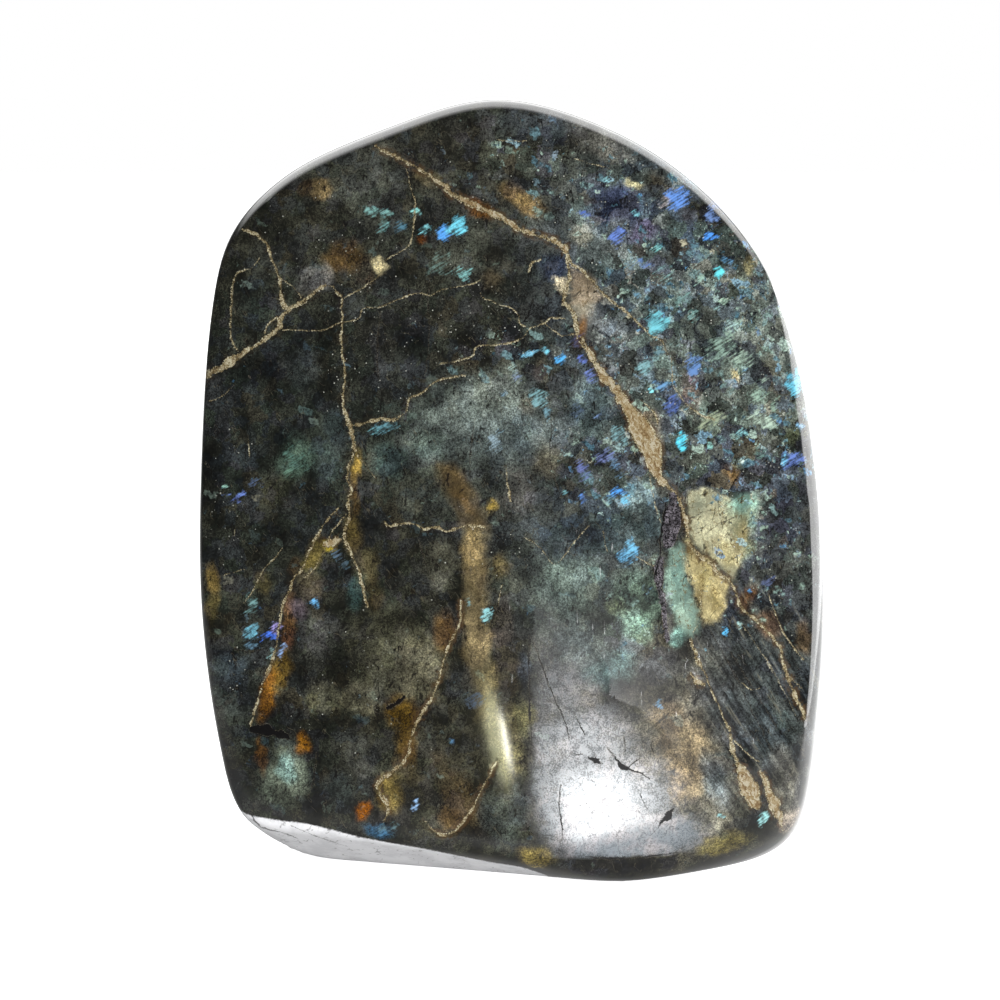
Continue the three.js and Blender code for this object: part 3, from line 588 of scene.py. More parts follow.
# what shows inside them, laid out like the clouds
crystalMarks = [
    (41.8, 68, 2.4, 3.4, 0, (118, 124, 98), 0.6), (36.4, 68, 3, 3.4, 20, (172, 170, 142), 0.6),
    (33.4, 71.6, 1.6, 1.8, 0, (136, 142, 124), 0.6), (41.6, 72, 2.4, 1.6, 0, (112, 146, 134), 0.75),
    (41.6, 66, 1, 3.4, -10, (128, 112, 74), 0.6), (39, 62.5, 1.6, 2.2, 30, (156, 146, 106), 0.7),
    (35.4, 63.6, 0.6, 2.4, -50, (120, 104, 72), 0.6), (35, 59, 1.4, 3, -20, (160, 150, 106), 0.7),
    (37, 54, 1.2, 2, 0, (126, 112, 70), 0.6), (33.8, 54, 0.5, 4, -8, (108, 92, 58), 0.6),
    (30, 59, 1, 3, 0, (104, 134, 126), 0.6), (-8.6, 63.5, 0.9, 3.4, 6, (146, 128, 92), 0.55),
    (-6.8, 58, 0.7, 3, -8, (98, 84, 62), 0.55), (-8.4, 51, 0.8, 4, 4, (140, 126, 96), 0.5),
    (-7, 45.5, 0.6, 3, -6, (92, 80, 60), 0.6), (-6, 38, 0.9, 4, -12, (142, 128, 92), 0.5),
    (-4.4, 32.5, 0.7, 2.6, -14, (102, 94, 72), 0.5), (-10.2, 72.6, 0.8, 3.4, 38, (132, 108, 70), 0.5),
    (-12.6, 76.4, 0.8, 2.4, 35, (78, 68, 52), 0.5), (30.6, 51, 1.4, 2, 0, (160, 182, 164), 0.7),
    (31.6, 55.6, 0.5, 3, -12, (86, 108, 102), 0.6),
]

# flashes, laid out the same way
flashes = [
    (37.5, 100.5, 3, 2.4, 15, (132, 152, 138), 0.75), (42.3, 98.8, 2.8, 1.4, 10, (152, 168, 150), 0.8),
    (35.8, 87, 3, 1.4, 25, (150, 154, 124), 0.75), (44.8, 91, 1.8, 1.5, 0, (150, 172, 152), 0.85),
    (45.8, 87, 2.6, 1.3, -30, (176, 190, 170), 0.9), (44.9, 81.5, 1.8, 1.5, 0, (108, 138, 128), 0.75),
    (40, 103.4, 1.4, 1.6, 20, (140, 160, 140), 0.7), (46, 94.6, 1.6, 0.9, 25, (150, 166, 146), 0.7),
    (39, 92.4, 1.3, 1.7, 0, (120, 146, 140), 0.65), (48.4, 90, 1, 1.6, 0, (130, 150, 130), 0.6),
    (31, 110, 1.4, 2, -10, (112, 146, 140), 0.65), (29.8, 101.6, 1.6, 1.2, 0, (112, 134, 130), 0.6),
    (21, 115, 1.2, 1.6, 0, (96, 118, 140), 0.6), (34.4, 117.4, 1.5, 1, 20, (108, 138, 140), 0.65),
    (-13.6, 121.9, 1.7, 1.3, 10, (84, 160, 240), 1.0), (-11, 123.4, 1.5, 2.1, -25, (112, 214, 240), 1.0),
    (-17.2, 122.2, 1.4, 0.9, 20, (126, 196, 205), 0.8), (-26.5, 125.6, 3.2, 0.9, -6, (126, 172, 166), 0.8),
    (-25.4, 123.2, 1.2, 1.5, 0, (112, 158, 156), 0.7), (-21.5, 123.6, 1.7, 1.7, 0, (78, 118, 138), 0.75),
    (-19.5, 125.4, 0.8, 0.7, 0, (150, 222, 216), 0.9), (-14.5, 116.2, 2.6, 2.2, 0, (104, 126, 118), 0.6),
    (-10, 114.6, 1.4, 1.1, -35, (130, 186, 184), 0.75), (12.8, 125.6, 1.6, 0.9, 0, (84, 108, 192), 0.75),
    (16.6, 131.7, 0.7, 0.6, 0, (160, 214, 222), 0.9), (22, 125.5, 0.8, 1.2, -30, (130, 200, 214), 0.8),
    (29.6, 128.3, 2.9, 2.2, 25, (98, 140, 218), 0.95), (26.6, 127.3, 1.1, 1.1, 25, (178, 158, 160), 0.6),
    (36.5, 125, 1.5, 2.3, -10, (104, 128, 184), 0.8), (36.2, 121.1, 1.4, 0.9, -15, (76, 150, 246), 1.0),
    (18.3, 121, 1.6, 2.1, -10, (104, 128, 206), 0.85), (26.2, 119, 0.9, 0.8, 0, (120, 190, 190), 0.7),
    (23.6, 116.5, 1.9, 1, 0, (86, 118, 184), 0.7), (27.5, 114.6, 1.6, 2.4, 0, (116, 152, 150), 0.65),
    (37, 114, 1.2, 1, -20, (92, 216, 228), 1.0), (39, 116.1, 1.8, 1.1, -15, (92, 146, 190), 0.7),
    (33.6, 113.3, 0.8, 1.3, 0, (150, 176, 160), 0.75), (38.3, 109, 1.3, 0.9, 0, (172, 198, 172), 0.75),
    (41, 107.8, 0.8, 0.6, 0, (170, 196, 170), 0.7), (36.4, 107.3, 0.9, 0.7, 0, (140, 172, 168), 0.7),
    (32.7, 106.7, 1.1, 1.6, 0, (122, 156, 150), 0.6), (40.8, 105.2, 1.2, 0.8, -20, (186, 214, 206), 0.85),
    (26, 105.3, 2.5, 2.1, 20, (108, 190, 204), 0.95), (22.5, 111, 1.4, 1, 0, (96, 138, 164), 0.6),
    (45.1, 103.7, 0.7, 0.8, 0, (84, 130, 190), 0.7), (32.4, 97.4, 2, 2, 0, (96, 128, 184), 0.85),
    (23.3, 97, 1.8, 1.3, 10, (126, 166, 172), 0.8), (26.4, 93.7, 1.3, 1.3, 0, (104, 148, 194), 0.75),
    (24.8, 92.4, 0.7, 0.8, 0, (140, 232, 242), 1.0), (28.6, 90, 1.7, 1.8, 0, (80, 98, 162), 0.85),
    (30.6, 83.6, 1.3, 1.7, 0, (74, 206, 234), 1.0), (35.6, 82.4, 0.8, 0.9, 0, (138, 192, 182), 0.85),
    (41.8, 84.8, 0.8, 0.6, 0, (140, 204, 210), 0.85), (41.9, 79.7, 0.5, 0.5, 0, (224, 228, 214), 0.9),
    (51.6, 93.8, 1.9, 3, 0, (94, 184, 212), 0.95), (53, 85.8, 1.2, 1.1, 0, (126, 170, 204), 0.8),
    (51.3, 79.8, 2.7, 1.5, 0, (98, 118, 190), 0.8), (49.5, 79.6, 0.6, 0.9, 0, (118, 190, 226), 0.85),
    (18.4, 74.2, 1.5, 0.8, 0, (78, 160, 248), 1.0), (20, 72.6, 1.6, 0.9, 15, (110, 190, 226), 0.9),
    (16.8, 72, 1.8, 1.1, 0, (104, 144, 156), 0.6), (12.3, 73.9, 1, 0.9, 0, (86, 128, 206), 0.9),
    (8.8, 74.3, 0.7, 0.5, 0, (150, 220, 228), 0.9), (9.2, 81.2, 1.4, 0.6, -10, (166, 196, 200), 0.8),
    (12, 78.5, 1.6, 2.3, 15, (100, 106, 164), 0.75), (16.5, 80.6, 1.7, 1.7, 30, (108, 114, 166), 0.75),
    (13.5, 95.5, 1.5, 1.6, -20, (106, 118, 186), 0.8), (12, 98.8, 0.8, 1, 0, (98, 112, 194), 0.8),
    (11, 102, 1.6, 1.6, 0, (74, 76, 112), 0.7), (1.7, 99.3, 1.3, 0.9, 0, (120, 182, 212), 0.85),
    (4.9, 99.8, 1, 0.8, 0, (118, 204, 228), 0.95), (7.9, 98.4, 1, 1.1, 0, (76, 168, 234), 1.0),
    (3.8, 91.5, 1.9, 2, 0, (120, 158, 164), 0.85), (-0.4, 95.2, 1.4, 1.3, 0, (122, 134, 168), 0.7),
    (-2, 96.8, 1, 0.9, 0, (156, 176, 166), 0.7), (5.6, 89, 1, 1.2, 0, (106, 142, 156), 0.75),
    (-4.3, 83.4, 1.4, 2, 0, (142, 158, 170), 0.7), (14.2, 87.7, 0.7, 0.7, 0, (130, 154, 206), 0.85),
    (11, 89.5, 1.3, 2, 0, (78, 92, 118), 0.7), (19, 84.5, 2.1, 2.1, 0, (116, 152, 158), 0.8),
    (18.5, 78.5, 1.4, 1.7, 0, (104, 138, 176), 0.8), (20.5, 62.8, 1.9, 1.6, 20, (98, 164, 208), 0.9),
    (20.6, 64.8, 0.9, 1.6, 0, (112, 184, 224), 0.85), (38.6, 48.4, 0.7, 0.7, 0, (78, 172, 224), 1.0),
    (41.6, 49.8, 0.6, 0.6, 0, (190, 222, 216), 0.9), (38.8, 51.3, 0.5, 0.4, 0, (190, 214, 210), 0.8),
    (26.4, 35.2, 0.9, 1.3, 0, (116, 160, 198), 0.9), (34.6, 44.6, 0.5, 0.5, 0, (126, 190, 212), 0.9),
    (46.5, 57.3, 1.3, 1, 0, (92, 98, 136), 0.7), (44.6, 55, 0.6, 0.7, 0, (156, 170, 172), 0.7),
    (37.7, 14, 1.1, 0.8, 0, (148, 206, 212), 0.9), (45.8, 13, 0.8, 1.5, 0, (150, 202, 202), 0.85),
    (-54.6, 75.1, 0.8, 0.7, 0, (150, 190, 172), 0.8), (-52.7, 73.2, 2.6, 0.5, 3, (104, 122, 196), 0.85),
    (-52.6, 71.9, 1.6, 0.5, 8, (92, 104, 172), 0.7), (-49, 75.1, 1.6, 0.8, 6, (84, 98, 134), 0.6),
    (-43.3, 80.7, 1, 0.6, 0, (84, 180, 226), 0.95), (-41.2, 80.5, 2.8, 3.2, -30, (82, 112, 100), 0.6),
    (-42.8, 77.5, 1.4, 1.2, -30, (108, 140, 118), 0.6), (-25.3, 85.8, 3.2, 1, 8, (96, 142, 154), 0.75),
    (-27.5, 84.9, 1, 0.7, 0, (110, 170, 180), 0.7), (-46.4, 47.5, 1.5, 1, 20, (72, 118, 240), 1.0),
    (-44.9, 49.5, 0.9, 1, 0, (168, 146, 216), 0.85), (-50, 52.8, 1.3, 2.2, 0, (114, 150, 150), 0.75),
    (-49.9, 47.9, 1.3, 1.3, 0, (116, 184, 208), 0.85), (-50, 45.2, 1.3, 0.9, 0, (96, 128, 152), 0.7),
    (-46.5, 44, 0.9, 1, 0, (128, 160, 160), 0.7), (-44.3, 44.8, 1, 1.3, 0, (134, 158, 206), 0.85),
    (-38, 53.4, 0.9, 0.8, 20, (108, 180, 236), 0.95), (-33.6, 63, 1.5, 1.5, 0, (84, 100, 122), 0.75),
    (-32.4, 60.8, 1, 1, 0, (70, 84, 96), 0.7), (-5.4, 52, 1, 1.3, 0, (140, 194, 198), 0.9),
    (-9, 54, 0.8, 0.7, 0, (120, 152, 148), 0.8), (-8, 36, 1.8, 1.6, 0, (68, 80, 102), 0.7),
    (-12, 28.7, 0.9, 1, 0, (76, 110, 146), 0.8), (-18.9, 16.6, 0.8, 1.3, -20, (146, 176, 220), 0.9),
    (-26, 11.9, 2, 1.1, -15, (58, 110, 150), 0.8), (-23.4, 12.6, 2, 1, 10, (86, 112, 120), 0.5),
]

# the ground, unpolished places, whose amount also lays a painted glare of the lamp into the colour, strongest
# at the core: across, up, reach across, reach up, turn, amount and softness
ground = [
    (15.2, 17.4, 9, 6, 0, 1.0, 0.7), (16, 16.6, 13.5, 10.5, 0, 0.66, 0.6),
    (13, 27.5, 10, 8, -10, 0.46, 0.7), (8.5, 37, 7, 9, -14, 0.3, 0.8), (5, 46, 4.4, 8, 0, 0.2, 0.8),
    (20.5, 11.2, 13.5, 4.8, 0, 0.95, 0.5), (4.6, 22, 4.5, 12, 0, 0.42, 0.6), (23, 26, 5, 8, 20, 0.2, 0.8),
]
# the crest of the pale foot bevel, across and up
footCrest = [
    (-60, 16), (-50, 13.8), (-45, 13.1), (-40, 12.7), (-35, 11.7), (-30, 10.4), (-24, 9.3), (-18, 8.4),
    (-10, 6.6), (-5, 5.5), (1, 4.6), (5, 2.5), (9, -2),
]

# how grainy the body is, how specked, and where it splits into long slanting streaks: across, up, reach
# across, reach up, amount
grainy = [
    (32, 108, 20, 22, 1.0), (42, 85, 14, 16, 1.0), (20, 128, 12, 8, 0.6), (18, 78, 12, 12, 0.5),
    (2, 134, 14, 8, 0.4), (20, 54, 9, 10, 0.5), (45, 62, 10, 14, 0.5), (0, 98, 10, 6, 0.4),
]
specked = [
    (-15, 104, 14, 10, 1.0), (-27, 98, 10, 10, 0.8), (-35, 118, 14, 12, 0.5), (30, 112, 20, 22, 0.8),
    (42, 88, 14, 18, 0.8), (-53, 40, 4, 4, 1.0), (-54, 74, 6, 12, 0.5), (45, 60, 10, 12, 0.7),
    (8, 92, 10, 14, 0.5), (10, 132, 20, 8, 0.7), (-5, 60, 10, 14, 0.4), (-30, 35, 14, 14, 0.3),
]
streaky = [
    (45, 36, 13, 22, 1.0), (36, 24, 8, 14, 0.7), (-14, 60, 8, 12, 0.25),
]


def patchAmount(patch, soft, x=across, y=up):  # 1 inside a slightly wandering ellipse, 0 outside
    angle = math.radians(patch[4])
    dx = x + wanderAcross - patch[0]
    dy = y + wanderUp - patch[1]
    alongPatch = (dx * math.cos(angle) + dy * math.sin(angle)) / patch[2]
    acrossPatch = (dy * math.cos(angle) - dx * math.sin(angle)) / patch[3]
    return 1 - ease(1 - soft, 1 + soft, np.hypot(alongPatch, acrossPatch))


def insideBy(corners):  # signed distance into a closed outline, in mm
    x = across + body["crystalBend"] * wanderAcross
    y = up + body["crystalBend"] * wanderUp
    corners = np.array(corners, float)
    best = np.full(len(x), 1e9)
    crossings = np.zeros(len(x), int)
    for (ax, ay), (bx, by) in zip(corners, np.roll(corners, -1, 0)):
        length = (bx - ax) ** 2 + (by - ay) ** 2
        part = np.clip(((x - ax) * (bx - ax) + (y - ay) * (by - ay)) / length, 0, 1)
        best = np.minimum(best, np.hypot(x - ax - part * (bx - ax), y - ay - part * (by - ay)))
        if ay != by:
            crossings += ((ay > y) != (by > y)) & (x < (bx - ax) * (y - ay) / (by - ay) + ax)
    return np.where(crossings % 2 == 1, best, -best)


frayed = waver(1.5, 5) + 0.6 * waver(0.7, 6)   # frays the outlines of the crystals


def cover(colour, shade, amount):
    colour += (shade - colour) * amount[:, None]


def paintBody():
    colour = np.tile(paint(*body["dark"]), (len(points), 1))
    for shade, size, seed, start, full in sideClouds:
        amount = ease(start, full, waver(size, seed) + 0.4 * waver(size * 0.28, seed + 40)) * (1 - front)
        cover(colour, paint(*shade), amount)
    for patch in clouds:
        soft = body["broad"] if patch[2] > body["cut"] else body["small"]
        cover(colour, muted(patch[5], body["deepen"]), patch[6] * patchAmount(patch, soft) * front)
    for corners, soft, shade, strength in crystalsAndShadeStrip:
        inside = insideBy(corners) + min(soft, 1) * body["fray"] * frayed
        cover(colour, paint(*shade), strength * ease(-soft / 2, soft / 2, inside) * front)
    for patch in crystalMarks:
        cover(colour, paint(*patch[5]), patch[6] * patchAmount(patch, body["markSoftness"]) * front)
    bright = colour.mean(1) / paint(*body["middle"]).mean()
    colour *= (bright ** stone["contrast"])[:, None]
    return np.hstack([colour, paintSpread(streaky)[:, None]])


def paintFlashes():  # the drawn ones in front, and loose blue and green glints over the sides and the back
    colour = np.tile(paint(96, 140, 160), (len(points), 1))
    total = np.zeros(len(points))
    bend = (across + 0.5 * wanderUp, up + 0.5 * wanderAcross)
    for patch in flashes:
        amount = patch[6] * patchAmount(patch, body["markSoftness"], *bend) * front
        cover(colour, muted(patch[5], body["flashMuted"]) * body["flashCast"], ease(0, 0.25, amount))
        total = np.maximum(total, amount)
    glints = ease(0.15, 0.5, waver(4.5, 11)) * ease(0.0, 0.3, waver(16, 12)) * 0.9 * (1 - front)
    tint = ease(-0.3, 0.3, waver(9, 13))[:, None]
    cover(colour, paint(84, 120, 190) * tint + paint(120, 176, 178) * (1 - tint), ease(0, 0.3, glints))
    return np.hstack([colour, np.maximum(total, glints)[:, None]])


def paintSpread(spots, behind=0.0):
    total = ease(-0.05, 0.4, waver(18, 31)) * behind * (1 - front)
    for x, y, wide, tall, amount in spots:
        total = np.maximum(total, amount * patchAmount((x, y, wide, tall, 0), 0.5) * front)
    return total


def paintCalm():  # the pale crystals have hardly any grain
    total = np.zeros(len(points))
    calmed = [(1.0, crystal) for crystal in crystalsAndShadeStrip[:4]] + [(0.4, crystal) for crystal in crystalsAndShadeStrip[8:10]]
    for amount, (corners, soft, shade, strength) in calmed:
        total = np.maximum(total, ease(-soft / 2, soft / 2, insideBy(corners)) * front * amount)
    return body["calm"] * np.maximum(total, paintSpread([(12, 109, 3, 5, 0.8)]))


# the ground patch: its amount also sets how much painted glare goes into the colour
def paintGroundAndGlare():
    total = np.zeros(len(points))
    for patch in ground:
        total = np.maximum(total, patch[5] * patchAmount(patch, patch[6]))
    total *= ease(*body["groundFrom"], up + 0.3 * wanderUp)
    blur = 0.8 + 2.2 * ease(34, 16, up)   # the straight edge is lost towards the foot
    return total * ease(-1, 1, (across - body["groundEdge"] + wanderAcross) / blur) * front


def paintFoot():  # mm below the crest of the foot bevel, and none behind
    crest = np.interp(across, *zip(*footCrest))
    footFront = 1 - ease(26, 32, depth)
    return np.clip(crest - up, -4, 4) * footFront - 4 * (1 - footFront)


addField("body", paintBody())
addField("flash", paintFlashes())
addField("finishAndGlare", np.stack([paintGroundAndGlare(), paintFoot(), front], 1))
addField("grain", np.stack([paintSpread(grainy, 0.8), paintSpread(specked, 0.4), paintCalm()], 1))
say("body, flashes and finish are painted")


bench = {}   # the node tree that is being wired


def feed(socket, value):
    if isinstance(value, bpy.types.NodeSocket):
        bench["tree"].links.new(value, socket)
    else:
        socket.default_value = value


def addNode(kind, inputs, **settings):
    node = bench["tree"].nodes.new("ShaderNode" + kind)
    for name, value in settings.items():
        setattr(node, name, value)
    for key, value in inputs.items():
        feed(node.inputs[key], value)
    return node


def calc(operation, first, second=0.0, clamp=False):
    return addNode("Math", {0: first, 1: second}, operation=operation, use_clamp=clamp).outputs[0]


def times(first, *others):
    for other in others:
        first = calc("MULTIPLY", first, other)
    return first


def plus(first, second):
    return calc("ADD", first, second)


def minus(first, second):
    return calc("SUBTRACT", first, second)


def weighed(*parts):  # a sum of values, each with its weight
    value = times(*parts[0])
    return plus(value, weighed(*parts[1:])) if parts[1:] else value


def shaken(value, lumps, amount):  # a value pushed up and down by a noise
    return plus(value, times(minus(lumps, 0.5), amount))


def step(value, low, high, start=0.0, end=1.0):
    inputs = {"Value": value, "From Min": low, "From Max": high, "To Min": start, "To Max": end}
    return addNode("MapRange", inputs, interpolation_type="SMOOTHSTEP").outputs[0]


def mix(amount, under, over, blend="MIX"):
    node = addNode("Mix", {0: amount, 6: under, 7: over}, data_type="RGBA", blend_type=blend)
    return node.outputs[2]


def mixValue(amount, under, over):
    return addNode("Mix", {0: amount, 2: under, 3: over}).outputs[0]


def solid(*shade):
    return (*paint(*shade), 1.0)


def lay(under, mask, strength, over):  # one colour laid over another
    return mix(times(mask, strength), under, over)


def lighten(shade, value):
    grey = addNode("CombineColor", {0: value, 1: value, 2: value}).outputs[0]
    return mix(1.0, shade, grey, "MULTIPLY")


def ramp(value, stops):
    node = addNode("ValToRGB", {0: value})
    while len(node.color_ramp.elements) < len(stops):
        node.color_ramp.elements.new(0.5)
    for element, (position, colour) in zip(node.color_ramp.elements, stops):
        element.position = position
        element.color = solid(*colour)
    return node.outputs[0]


def apart(vector):
    return addNode("SeparateXYZ", {0: vector}).outputs


def grainOf(place, size, detail=3.0, roughness=0.55):  # noise whose lumps are about size mm
    inputs = {"Vector": place, "Scale": 1 / size, "Detail": detail, "Roughness": roughness}
    return addNode("TexNoise", inputs).outputs


def grainScaled(place, size, detail, roughness):  # the same for a size that comes from a socket
    scale = calc("DIVIDE", 1.0, size)
    inputs = {"Vector": place, "Scale": scale, "Detail": detail, "Roughness": roughness}
    return addNode("TexNoise", inputs).outputs[0]


def cellsOf(place, scale):  # the random numbers of each cell, and the distance to its middle
    node = addNode("TexVoronoi", {"Vector": place, "Scale": scale})
    return addNode("SeparateColor", {0: node.outputs["Color"]}).outputs, node.outputs["Distance"]


def stretched(place, reach, turn=(0, 0, 0)):  # what follows is drawn out by reach along the turned axes
    inputs = {"Vector": place, "Rotation": turn, "Scale": reach}
    return addNode("Mapping", inputs, vector_type="TEXTURE").outputs[0]


def grouped(group, inputs):
    return addNode("Group", inputs, node_tree=group).outputs


def startGroup(name, inputs, outputs):  # an input without a value takes a vector
    group = bpy.data.node_groups.new(name, "ShaderNodeTree")
    for label, value in inputs.items():
        kind = "NodeSocketVector" if value is None else "NodeSocketFloat"
        socket = group.interface.new_socket(label, in_out="INPUT", socket_type=kind)
        if value is not None:
            socket.default_value = value
    for label in outputs:
        group.interface.new_socket(label, in_out="OUTPUT", socket_type="NodeSocketFloat")
    bench["tree"] = group
    return group, group.nodes.new("NodeGroupInput").outputs, group.nodes.new("NodeGroupOutput").inputs


fillingParts = ("Core", "Edge", "Heart", "Gold", "Porous", "Open", "Width")


def makeFractureFill():
    inputs = {"Fracture": None, "Ragged": 0.0, "Swell": 0.0}
    group, given, out = startGroup("fractureFill", inputs, fillingParts)
    gap, width, kind = apart(given["Fracture"])
    smooth = step(width, 0.4, 1.3, 1.0, 0.25)   # wide fractures have smoother edges
    gap = calc("ABSOLUTE", plus(gap, times(given["Ragged"], smooth)))
    even = mixValue(step(width, 0.45, 1.2), given["Swell"], 1.0)
    inset = minus(times(width, even), gap)
    core = step(inset, -0.07, 0.08)
    golden = times(step(kind, 0.1, 0.9), step(kind, 1.9, 1.2))
    parts = {
        "Core": core,
        "Edge": times(step(inset, -1.0, 0.0), golden),
        "Heart": step(inset, 0.14, 0.4),
        "Gold": times(calc("MINIMUM", kind, 1.0), core),
        "Porous": times(step(kind, 1.2, 1.9), core),
        "Open": times(step(kind, 2.2, 2.9), core),
        "Width": width,
    }
    for name, value in parts.items():
        feed(out[name], value)
    return group


def makeCloudiness():
    group, given, out = startGroup("cloudiness", {"Place": None, "Cloud Size": 5.0}, ["Value"])
    big = grainScaled(given["Place"], given["Cloud Size"], 4.0, 0.56)
    drawn = stretched(given["Place"], (1.0, 1.0, 1.9), (0, 0.3, 0))
    fibres = grainOf(drawn, 0.9, 2.0, 0.62)[0]
    feed(out["Value"], weighed((big, 0.78), (fibres, 0.22)))
    return group


def makeCleavage():  # thin broken lines, mostly upright before the turn
    inputs = {"Place": None, "Turn": None, "Size": 5.0, "Width": 0.01, "Breaks": 0.5}
    group, given, out = startGroup("cleavage", inputs, ["Mask"])
    turned = stretched(given["Place"], (1.0, 2.0, 4.2), given["Turn"])
    folds = grainScaled(turned, given["Size"], 3.0, 0.6)
    gap = calc("ABSOLUTE", minus(folds, 0.5))
    line = step(minus(given["Width"], gap), 0.0, 0.008)
    feed(out["Mask"], times(line, step(given["Breaks"], 0.46, 0.6)))
    return group


def makeFlecks():  # small bright splinters, each its own size and lottery number
    inputs = {"Place": None, "Amount": 0.5, "Spacing": 0.8, "Size": 0.3}
    group, given, out = startGroup("flecks", inputs, ["Mask", "Number"])
    lottery, away = cellsOf(given["Place"], calc("DIVIDE", 1.0, given["Spacing"]))
    chosen = step(minus(given["Amount"], lottery[0]), -0.05, 0.1)
    size = times(plus(lottery[1], 0.4), given["Size"])
    feed(out["Mask"], times(step(minus(size, away), -0.12, 0.1), chosen))
    feed(out["Number"], lottery[2])
    return group


def makeSpecks():
    inputs = {"Place": None, "Amount": 0.5, "Spacing": 0.85, "Size": 0.13}
    group, given, out = startGroup("pinSpecks", inputs, ["Mask"])
    lottery, away = cellsOf(given["Place"], calc("DIVIDE", 1.0, given["Spacing"]))
    chosen = calc("LESS_THAN", lottery[0], given["Amount"])
    size = times(given["Size"], plus(lottery[1], 0.35))
    feed(out["Mask"], times(step(minus(size, away), -0.03, 0.05), chosen))
    return group


def makeScratches():
    group, given, out = startGroup("fineScratches", {"Place": None, "Turn": None}, ["Mask"])
    turned = stretched(given["Place"], (0.45, 1.0, 20.0), given["Turn"])
    thin = step(grainOf(turned, 0.8, 2.0, 0.5)[0], 0.68, 0.74)
    breaks = grainOf(given["Place"], 6.0, 2.0, 0.5)[0]
    feed(out["Mask"], times(thin, step(breaks, 0.45, 0.65)))
    return group


fractureFill = makeFractureFill()
cloudiness = makeCloudiness()
cleavage = makeCleavage()
flecks = makeFlecks()
pinSpecks = makeSpecks()
fineScratches = makeScratches()


def startMaterial(name):
    material = bpy.data.materials.new(name)
    material.use_nodes = True
    bench["tree"] = material.node_tree
    material.node_tree.nodes.clear()
    shader = addNode("BsdfPrincipled", {})
    addNode("OutputMaterial", {0: shader.outputs[0]})
    place = addNode("TexCoord", {}).outputs["Object"]
    scaled = addNode("VectorMath", {0: place, "Scale": 1 / mm}, operation="SCALE").outputs[0]
    return material, shader, scaled


def field(name):
    return addNode("Attribute", {}, attribute_name=name).outputs


polish = {
    "ior": 1.56,
    "roughness": 0.08,
    "footRoughness": 0.3,
    "groundRoughness": 0.33,     # of the worn skin over the ground patch
    "skinIor": 1.5,
    "scratched": 0.18,           # what a fine scratch adds to the roughness
    "relief": (0.1, 0.6),        # mm deep, and how strongly it shows
    "richness": 1.08,            # how much the colours of the rock and its flashes are deepened
    "cloudSpan": (0.36, 0.68),   # where the body goes from dark to bright in its cloudiness
    "darkest": 0.36,             # what the cloudiness does to the body at its darkest and brightest
    "brightest": 1.9,
    "blocks": (0.8, 1.24),       # how dark and how bright the large crystal domains catch the light
    "domains": (0.44, 1.82),     # and the small ones
    "speckled": (0.66, 1.42),    # the same for grain, fine grain, slanting streaks and calm crystals
    "gritty": (0.54, 1.56),
    "streaked": (0.42, 1.55),
    "calmed": (0.82, 1.1),
    "tinted": (0.12, 0.52),      # how far the domains are tinted where the body is plain, and where grainy
    "tints": [(0.0, (84, 66, 38)), (0.25, (60, 78, 64)), (0.5, (74, 70, 54)), (0.75, (48, 64, 84)),
              (1.0, (74, 68, 84))],
    "splinters": [(0.0, (70, 104, 120)), (0.25, (106, 136, 144)), (0.5, (142, 164, 148)),
                  (0.7, (180, 202, 190)), (0.85, (92, 140, 182)), (1.0, (192, 188, 162))],
    # cleavage lines: turn, size of their folds in mm, width, strength and colour
    "cleavage": [((0, 0.05, 0), 4.0, 0.014, 0.8, (18, 16, 14)),
                 ((0, 0.75, 0.3), 5.0, 0.011, 0.7, (18, 16, 14)),
                 ((0, -0.6, 0.2), 4.0, 0.006, 0.4, (150, 142, 120))],
    "thread": (150, 146, 128),
    "crazing": (116, 92, 48),
    # the pale bloom of the ground patch, dull and pale: partly a painted glare of the lamp
    "bloomAndGlare": ((188, 200, 210), (238, 234, 240)),
    "bloomCracks": (52, 50, 52),
    "stain": (96, 72, 46),       # beside golden fractures
    "crumbs": [(0.38, (50, 40, 26)), (0.45, (112, 94, 62)), (0.53, (178, 164, 124)),
               (0.61, (240, 234, 204))],
    "heart": [(0.36, (132, 102, 64)), (0.45, (168, 142, 98)), (0.54, (198, 180, 142)),
              (0.62, (222, 214, 188))],
    "sponge": ((32, 29, 30), (136, 130, 138)),
    "open": (20, 18, 18),
    "specks": (226, 228, 216),
    "foot": ((0.78, 0.78, 0.8, 1.0), (0.5, 0.5, 0.52, 1.0)),
    "footCracks": ((84, 80, 78), (30, 28, 28)),
    "sawn": ((84, 85, 80), (138, 138, 130), (200, 198, 190)),    # the base: dark, pale, and its specks
    "sawnRoughness": 0.55,
    "sawDepth": 0.08,            # mm
    "sawTurn": (0, math.radians(90), math.radians(12)),
}


